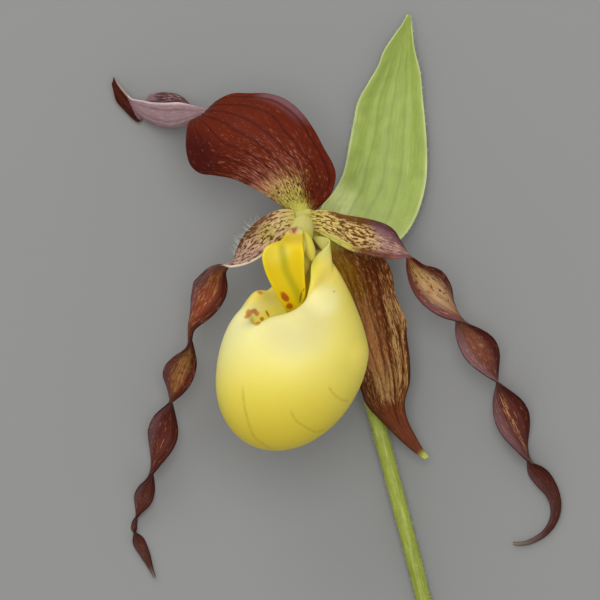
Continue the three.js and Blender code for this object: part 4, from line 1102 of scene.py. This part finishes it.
def paint_bract(skin, c):
    """Leaf green, paler at the base and a little yellower to one side, partly as painted light where the
    upper sepal shades it, with darker lengthwise veins and downy margins.
    """
    along, across = skin.along, skin.across
    ground = layered(
        c["leaf"],
        ((210, 220, 160), 0.5 * ramp(np.abs(across), 0.92, 1.0)),
        # paler towards the base: partly its own colour and partly painted light where the upper sepal shades
        # it
        ((178, 190, 108), 0.8 * fall(along, 0.08, 0.3)),
        # painted light, lifting the shade that the upper sepal casts on this side
        ((206, 216, 140), 0.8 * near(skin.points, 6.5, 4.0, 6.0)),
    )
    ribs = 0.7 * between(along, 0.1, 0.3, 0.7, 0.9) * fall(np.abs(across), 0.6, 0.85)
    hair = (ramp(np.abs(across), 0.9, 1) + 0.03) * ramp(skin.points[:, 2], 0.8, 1.6)
    paint(skin, ground, (166, 180, 98), c["moss"], 0.12, 0.05, ribs, hair)


def paint_stalk(skin, c):
    """Green, yellower by the hub. Hairs grow where they are clear of the surface and of the cut end."""
    y, height = skin.points[:, 1], skin.points[:, 2]
    top = ramp(height, 16, 19)
    ground = layered(c["stem"], ((182, 173, 82), top), ((130, 140, 36), fall(y, -76, -52)))
    pale = layered((176, 188, 90), ((176, 168, 84), top))
    hair = ramp(height, 0.9, 1.6) * ramp(y, -91.4, -90.4)
    paint(skin, ground, pale, (118, 132, 40), 0.3, 0.25 * (1 - top), 0.0, hair)


def paint_pouch(skin, c):
    """Lemon on the belly, amber towards the bottom that is partly painted shade, cream painted highlights
    round the mouth, painted shade on the near wall and in the gap at the heel of the mouth, and inside a
    light yellow that is partly painted light.
    """
    points, turn = skin.points, skin.turn
    x, y, z = points.T
    within = np.maximum(skin.within, ramp(skin.level, 2.35, 2.8))
    # painted highlight: cream high on the wall towards the mouth, most on the left
    creamy_highlight = ramp(y, -36, -20) * ramp(z - 0.5 * x, 24, 38) * (1 - 0.8 * ramp(x, -2, 10))
    # painted shade on the face of the near wall past its crest, which turns away from the light
    collar_shade = ramp(past(points, CREST_LINE), -0.1, 0.6) * fall(x, 4.2, 7) * ramp(y, -18, -15) * (1 - within)
    strap = within * between(turn, 0.44, 0.48, 0.62, 0.66)
    # painted shade: dark olive-brown in the deep gap at the heel of the mouth, beside the column
    slit_shade = strap * ramp(past(points, SLIT_LINE), -0.1, 0.3) * ramp(y, -6.0, -5.5)
    ground = layered(
        c["lemon"],
        # amber towards the bottom: partly its own colour and partly painted shade
        (c["amber"], 0.85 * fall(y, -45, -30)),
        # painted light on the right of the belly, where the lamps leave it darker
        ((244, 224, 100), 0.7 * near(points, 12.4, -27.0, 4.5)),
        (c["cream"], 0.95 * creamy_highlight),
        # the painted highlight kept duller on the crest, which the lamps light already
        ((212, 202, 138), 0.8 * near(points, -1.5, -20, 10)),
        ((230, 210, 96), 0.8 * ramp(y, -17, -11)),
        # painted highlight: a paler cream on the crest to the right of the mouth
        ((238, 230, 172), 0.6 * near(points, 4.2, -15.6, 4.5)),
        ((222, 202, 92), 0.8 * collar_shade),
        # inside, a yellow as light as it goes: partly its own deep yellow and partly painted light for the
        # glow through the thin wall
        ((255, 230, 88), within),
        ((226, 208, 116), 0.8 * near(points, 4.6, -5.4, 4.2)),
        ((206, 200, 112), strap),
        ((84, 62, 18), 0.95 * slit_shade),
    )
    skin.keep(ground=ground, spotted=ramp(z, 24, 25.5))


def paint_staminode(skin, c):
    """Gold, with an olive groove down its middle in painted shade, painted shade across its top and a painted
    highlight on its left side.
    """
    points = skin.points
    path = station_at(SHIELD_GROOVE, np.linspace(0, 1, 60))
    away = np.hypot(*(points[:, None, :2] - path).T).min(axis=0)
    ground = layered(
        c["gold"],
        # painted highlight on the left side of the shield
        ((222, 206, 76), 0.6 * near(points, -5.6, -6.0, 4.0)),
        # painted shade across the top, which faces away from the light
        ((194, 168, 30), ramp(points[:, 1], -5.2, -3.6)),
        ((222, 208, 120), ramp(points[:, 1], -3.0, -1.6)),
        # painted shade in the groove
        (c["olive"], 0.8 * fall(away, 0.1, 1.3)),
    )
    skin.keep(ground=ground, spotted=1.0)


def paint_column(skin, c):
    """Gold towards the shield and pale green by the hub."""
    y, height = skin.points[:, 1], skin.points[:, 2]
    ground = layered((206, 190, 76), ((206, 200, 112), ramp(y - 0.25 * height, -10.6, -8.6)))
    skin.keep(ground=ground, spotted=ramp(height, 29, 32))


def grow_hairs(name, piece, slot, finish, length="short_hair", width=0.7, **inputs):
    """Grows hairs on a piece, as a piece of their own: length names their size, and width is a share."""
    growing = new_object(name + "_growing", piece.data.copy())
    modifier = growing.modifiers.new("Hairs", "NODES")
    modifier.node_group = group("Hairs")
    size = sizes()
    inputs["Finish"] = finish
    inputs["Length"] = size[length] * METRES
    inputs["Width"] = width * size["hair_width"] * METRES
    for item in modifier.node_group.interface.items_tree:
        if item.in_out == "INPUT" and item.name in inputs:
            modifier[item.identifier] = inputs[item.name]
    evaluated = growing.evaluated_get(bpy.context.evaluated_depsgraph_get())
    mesh = bpy.data.meshes.new_from_object(evaluated)
    bpy.data.objects.remove(growing)
    if not mesh.polygons:
        raise RuntimeError(f"{name} grew no hairs")
    tips = np.empty(3 * len(mesh.vertices), np.float32)
    mesh.vertices.foreach_get("co", tips)
    mesh.vertices.foreach_set("co", np.clip(tips.reshape(-1, 3), *MODEL_BOX).astype(np.float32).ravel())
    mesh.name = name
    return add_piece(name, mesh)


# ---- operators ----


class ORCHID_OT_pouch(bpy.types.Operator):
    """Grow the inflated pouch"""

    bl_idname = "orchid.pouch"
    bl_label = "Pouch"

    def execute(self, context):
        c = colours()
        spots = [
            (-10.8, -18.2, 0.62, 0.72, 0, c["ochre"], 0.9),
            (-9.8, -17.8, 0.6, 0.5, 20, c["rust"], 0.7),
            (-9.2, -18.3, 0.45, 0.5, 0, c["ochre"], 0.9),
            (-11.2, -18.9, 0.5, 0.4, 30, c["ochre"], 0.8),
            (-7.1, -18.3, 0.75, 0.24, -62, c["rust"], 0.75),
            (-8.2, -19.4, 0.4, 0.4, 0, c["rust"], 0.7),
            (-9.0, -20.3, 0.7, 0.32, 22, c["ochre"], 0.8),
            (-8.6, -14.1, 0.6, 0.35, -25, c["ochre"], 0.8),
            (6.2, -13.9, 0.24, 0.12, 60, c["rust"], 0.7),
        ]
        # each crease is a row of long spots in painted shade
        for crease in POUCH_CREASES:
            path = station_at(crease, np.linspace(0, 1, CREASE_PARTS + 1))
            for run, middle in zip(np.diff(path, axis=0), (path[1:] + path[:-1]) / 2):
                reach, turn = CREASE_REACH * math.hypot(*run), math.degrees(math.atan2(run[1], run[0]))
                spots.append((*middle, reach, CREASE_HALF_WIDTH, turn, CREASE_SHADE_TONE, CREASE_SHADE_STRENGTH))
        skin = pouch_skin(sizes()["pouch"], around=180)
        paint_pouch(skin, c)
        add_skin("pouch", skin, wax_material("Pouch Wax", spots, roughness=0.42), "lip")
        return {"FINISHED"}


class ORCHID_OT_petals(bpy.types.Operator):
    """Grow the two twisted petals and the long hairs at their bases"""

    bl_idname = "orchid.petals"
    bl_label = "Petals"

    def execute(self, context):
        c = colours()
        streak, dash, ribs = (2.0, 0.17, 0.06, 3.0), (1.15, 0.5, 0.05, 11.0), (5.0, 0.22, 0.6)
        finish = tissue_material("Petal Tissue", streak, dash, ribs, DULL, roughness=0.46)
        down = plain_material("Long Down", c["down"])
        relief = folds(pleats=5, height=0.07)
        shapes = {  # stations, tones, and the side, tone, start, end and inner edge of the plain band
            "left": (LEFT_PETAL, LEFT_PETAL_TONES, -1, (206, 192, 166), 0.09, 0.2, 0.84),
            "right": (RIGHT_PETAL, RIGHT_PETAL_TONES, 1, (184, 176, 84), 0.02, 0.125, 0.56),
        }
        hairs = {"Density": 3.2e6, "Spread": 0.5, "Comb": 1.2, "Lean": 0.5, "Seed": 5}
        for side, (rows, *tones) in shapes.items():
            skin = blade_skin(ribbon_surface, rows, sizes()["petal"], relief, sections=420, strips=20)
            paint_petal(skin, c, *tones)
            piece = add_skin(side + "_petal", skin, finish, "petal_" + side)
            grow_hairs(side + "_petal_hairs", piece, "petal", down, "long_hair", 1.0, **hairs)
        return {"FINISHED"}


class ORCHID_OT_dorsal_sepal(bpy.types.Operator):
    """Grow the hooded upper sepal with its twisted tail"""

    bl_idname = "orchid.dorsal_sepal"
    bl_label = "Upper Sepal"

    def execute(self, context):
        relief = folds(pleats=6, height=0.09, waves=4, wave_height=0.3)
        skin = blade_skin(leaf_surface, DORSAL_SEPAL, sizes()["sepal"], relief, sections=260, strips=60)
        paint_dorsal_sepal(skin, colours())
        streak, dash, ribs = (1.7, 0.17, 0.1, 2.0), (1.0, 0.3, 0.04, 9.0), (7.0, 0.17, 0.5)
        finish = tissue_material("Upper Sepal Tissue", streak, dash, ribs, {"Specular IOR Level": 0.06})
        add_skin("upper_sepal", skin, finish, "dorsal_sepal")
        return {"FINISHED"}


class ORCHID_OT_synsepal(bpy.types.Operator):
    """Grow the lower sepal behind the pouch"""

    bl_idname = "orchid.synsepal"
    bl_label = "Lower Sepal"

    def execute(self, context):
        relief = folds(pleats=5, height=0.2, waves=5, wave_height=0.4)
        skin = blade_skin(leaf_surface, SYNSEPAL, sizes()["sepal"], relief, sections=220, strips=48)
        paint_synsepal(skin, colours())
        streak, dash, ribs = (1.3, 0.16, 0.12, 4.0), (0.8, 0.14, 0.08, 8.0), (6.0, 0.16, 0.6)
        finish = tissue_material("Lower Sepal Tissue", streak, dash, ribs, DULL)
        add_skin("lower_sepal", skin, finish, "synsepal")
        return {"FINISHED"}


class ORCHID_OT_bract(bpy.types.Operator):
    """Grow the leafy bract with its downy margin"""

    bl_idname = "orchid.bract"
    bl_label = "Bract"

    def execute(self, context):
        c = colours()
        relief = folds(pleats=5, height=0.08, waves=5, wave_height=0.2)
        skin = blade_skin(leaf_surface, BRACT, sizes()["bract"], relief, sections=220, strips=56)
        paint_bract(skin, c)
        streak, dash, ribs = (5.0, 0.35, 0.2, 6.0), (4.0, 0.3, 0.2, 7.0), (5.0, 0.17, 0.6)
        settings = {"Specular IOR Level": 0.35, **SHEER}
        finish = tissue_material("Bract Tissue", streak, dash, ribs, settings, grain=0.3)
        piece = add_skin("bract_leaf", skin, finish, "bract")
        hairs = {"Density": 9e6, "Spread": 0.5, "Comb": 1.6, "Lean": 0.5, "Seed": 2}
        grow_hairs("bract_hairs", piece, "bract", plain_material("Bract Down", c["down"]), **hairs)
        return {"FINISHED"}


class ORCHID_OT_column(bpy.types.Operator):
    """Grow the column with its shield, anthers and stigma"""

    bl_idname = "orchid.column"
    bl_label = "Column"

    def execute(self, context):
        c = colours()
        marks = [
            (-2.0, -1.0, 2.0, 1.3, 0, (206, 186, 130), 0.8),
            (-2.0, -1.7, 0.9, 0.9, 0, (186, 130, 84), 0.6),
            (-2.05, -1.5, 0.85, 0.24, -64, (150, 80, 50), 0.8),
            (-1.5, -1.4, 0.95, 0.24, 62, (150, 80, 50), 0.8),
        ]
        spots = marks + [
            (-3.6, -15.0, 1.15, 0.62, -53, c["rust"], 0.9),
            (-2.7, -16.8, 0.66, 0.6, 0, c["rust"], 0.85),
            (-0.46, -15.0, 1.2, 0.2, 79, (120, 70, 10), 0.8),
            (0.14, -13.6, 0.4, 0.16, 70, (150, 90, 20), 0.7),
        ]
        skin = blade_skin(leaf_surface, STAMINODE, SHIELD_THICKNESS, folds(), sections=120, strips=40)
        paint_staminode(skin, c)
        gold = wax_material("Shield Wax", spots, roughness=0.38)
        add_skin("shield", skin, gold, "staminode")
        pale = wax_material("Column Wax", marks, roughness=0.45)
        bodies = {  # stations, slot, node, sections, sides and bluntness
            "column_body": (COLUMN, "column", "column", 48, 40, 0.3),
            "left_anther": (ANTHER_LEFT, "anther", "anther_left", 32, 28, 0.9),
            "right_anther": (ANTHER_RIGHT, "anther", "anther_right", 32, 28, 0.9),
            "stigma_lobe": (STIGMA, "stigma", "stigma", 32, 28, 0.9),
        }
        for name, (stations, slot, node, sections, sides, blunt) in bodies.items():
            skin = stalk_skin(stations, sections, sides, blunt=blunt)
            paint_column(skin, c)
            add_skin(name, skin, pale, node)
        return {"FINISHED"}


class ORCHID_OT_stalks(bpy.types.Operator):
    """Grow the ovary and the cut stem, with their short hairs"""

    bl_idname = "orchid.stalks"
    bl_label = "Stem and Ovary"

    def execute(self, context):
        c = colours()
        streak, dash, ribs = (6.0, 0.3, 0.15, 1.0), (3.0, 0.3, 0.15, 5.0), (1.0, 0.05, 0.0)
        settings = {"Specular IOR Level": 0.4, **SHEER}
        finish = tissue_material("Stem Tissue", streak, dash, ribs, settings, grain=0.4)
        down = plain_material("Stem Down", c["down"])
        hub_down = plain_material("Hub Down", (204, 198, 116))
        shapes = {  # node, hairs' finish and density, stations, sections, sides, ribs, their height, blunt
            "cut_stem": ("stem", down, 2.6e6, STEM, 180, 36, 0, 0.0, 0.02),
            "ribbed_ovary": ("ovary", hub_down, 6e6, OVARY, 80, 72, 6, 0.28, 0.3),
        }
        hairs = {"Spread": 0.6, "Comb": 0.0, "Lean": 0.6, "Seed": 3}
        for name, (node, hair_finish, density, *shape) in shapes.items():
            skin = stalk_skin(*shape)
            paint_stalk(skin, c)
            piece = add_skin(name, skin, finish, node)
            grow_hairs(name + "_hairs", piece, node, hair_finish, Density=density, **hairs)
        return {"FINISHED"}


FLOOR_REACH = 3.0
LAMPS = {"key": (-0.05, 0.2, 1.55), "fill": (-0.55, 1.1, 0.75)}
LAMP_SIZE = 1.1
VIEW_MIDDLE = np.array([-0.6, -15.6, 0])  # round the hub, in millimetres


class ORCHID_OT_stage(bpy.types.Operator):
    """Set the surface, the light and the camera"""

    bl_idname = "orchid.stage"
    bl_label = "Stage"

    def execute(self, context):
        scene = context.scene
        stage = scene.orchid_stage
        corners = [(FLOOR_REACH * x, FLOOR_REACH * y, 0) for x, y in ((-1, -1), (1, -1), (1, 1), (-1, 1))]
        mesh = bpy.data.meshes.new("surface")
        mesh.from_pydata(corners, [], [(0, 1, 2, 3)])
        mesh.materials.append(plain_material("Plain Surface", stage.floor, 0.8))
        new_object("surface", mesh)

        for name, location in LAMPS.items():
            lamp = bpy.data.lights.new(name, "AREA")
            lamp.shape = "DISK"
            lamp.size = LAMP_SIZE
            lamp.energy = getattr(stage, name)
            lit = new_object(name, lamp)
            lit.location = location
            lit.rotation_euler = (-lit.location).to_track_quat("-Z", "Y").to_euler()

        world = bpy.data.worlds.new("sky")
        world.use_nodes = True
        background = world.node_tree.nodes["Background"].inputs
        background["Color"].default_value = (1, 1, 1, 1)
        background["Strength"].default_value = stage.sky
        scene.world = world
        scene.view_settings.view_transform = "Standard"

        sight = bpy.data.cameras.new("camera")
        sight.lens = stage.lens
        sight.sensor_width = 36
        sight.clip_end = 20
        camera = new_object("camera", sight)
        aim = HUB + VIEW_MIDDLE
        camera.location = (aim[0] * METRES, aim[1] * METRES, stage.height)
        scene.camera = camera
        return {"FINISHED"}


class ORCHID_PT_panel(bpy.types.Panel):
    """Lists the flower's parts in the sidebar"""

    bl_label = "Orchid"
    bl_idname = "ORCHID_PT_panel"
    bl_space_type = "VIEW_3D"
    bl_region_type = "UI"
    bl_category = "Orchid"

    def draw(self, context):
        for name, kind in SETTINGS.items():
            for key in kind.__annotations__:
                self.layout.prop(getattr(context.scene, name), key)
        for operator in OPERATORS:
            self.layout.operator(operator.bl_idname)


SETTINGS = {"orchid_sizes": OrchidSizes, "orchid_colours": OrchidColours, "orchid_stage": OrchidStage}
OPERATORS = (
    ORCHID_OT_stage,
    ORCHID_OT_pouch,
    ORCHID_OT_petals,
    ORCHID_OT_dorsal_sepal,
    ORCHID_OT_synsepal,
    ORCHID_OT_bract,
    ORCHID_OT_column,
    ORCHID_OT_stalks,
)
CLASSES = (*SETTINGS.values(), *OPERATORS, ORCHID_PT_panel)


def register():
    """Makes the classes and the scene's settings known."""
    for kind in CLASSES:
        bpy.utils.register_class(kind)
    for name, kind in SETTINGS.items():
        setattr(bpy.types.Scene, name, bpy.props.PointerProperty(type=kind))


def unregister():
    """Takes them away again."""
    for name in SETTINGS:
        delattr(bpy.types.Scene, name)
    for kind in reversed(CLASSES):
        bpy.utils.unregister_class(kind)


def main():
    """Grows the whole flower."""
    register()
    bpy.ops.orchid.stage()
    bpy.ops.orchid.pouch()
    bpy.ops.orchid.petals()
    bpy.ops.orchid.dorsal_sepal()
    bpy.ops.orchid.synsepal()
    bpy.ops.orchid.bract()
    bpy.ops.orchid.column()
    bpy.ops.orchid.stalks()


if __name__ == "__main__":
    main()
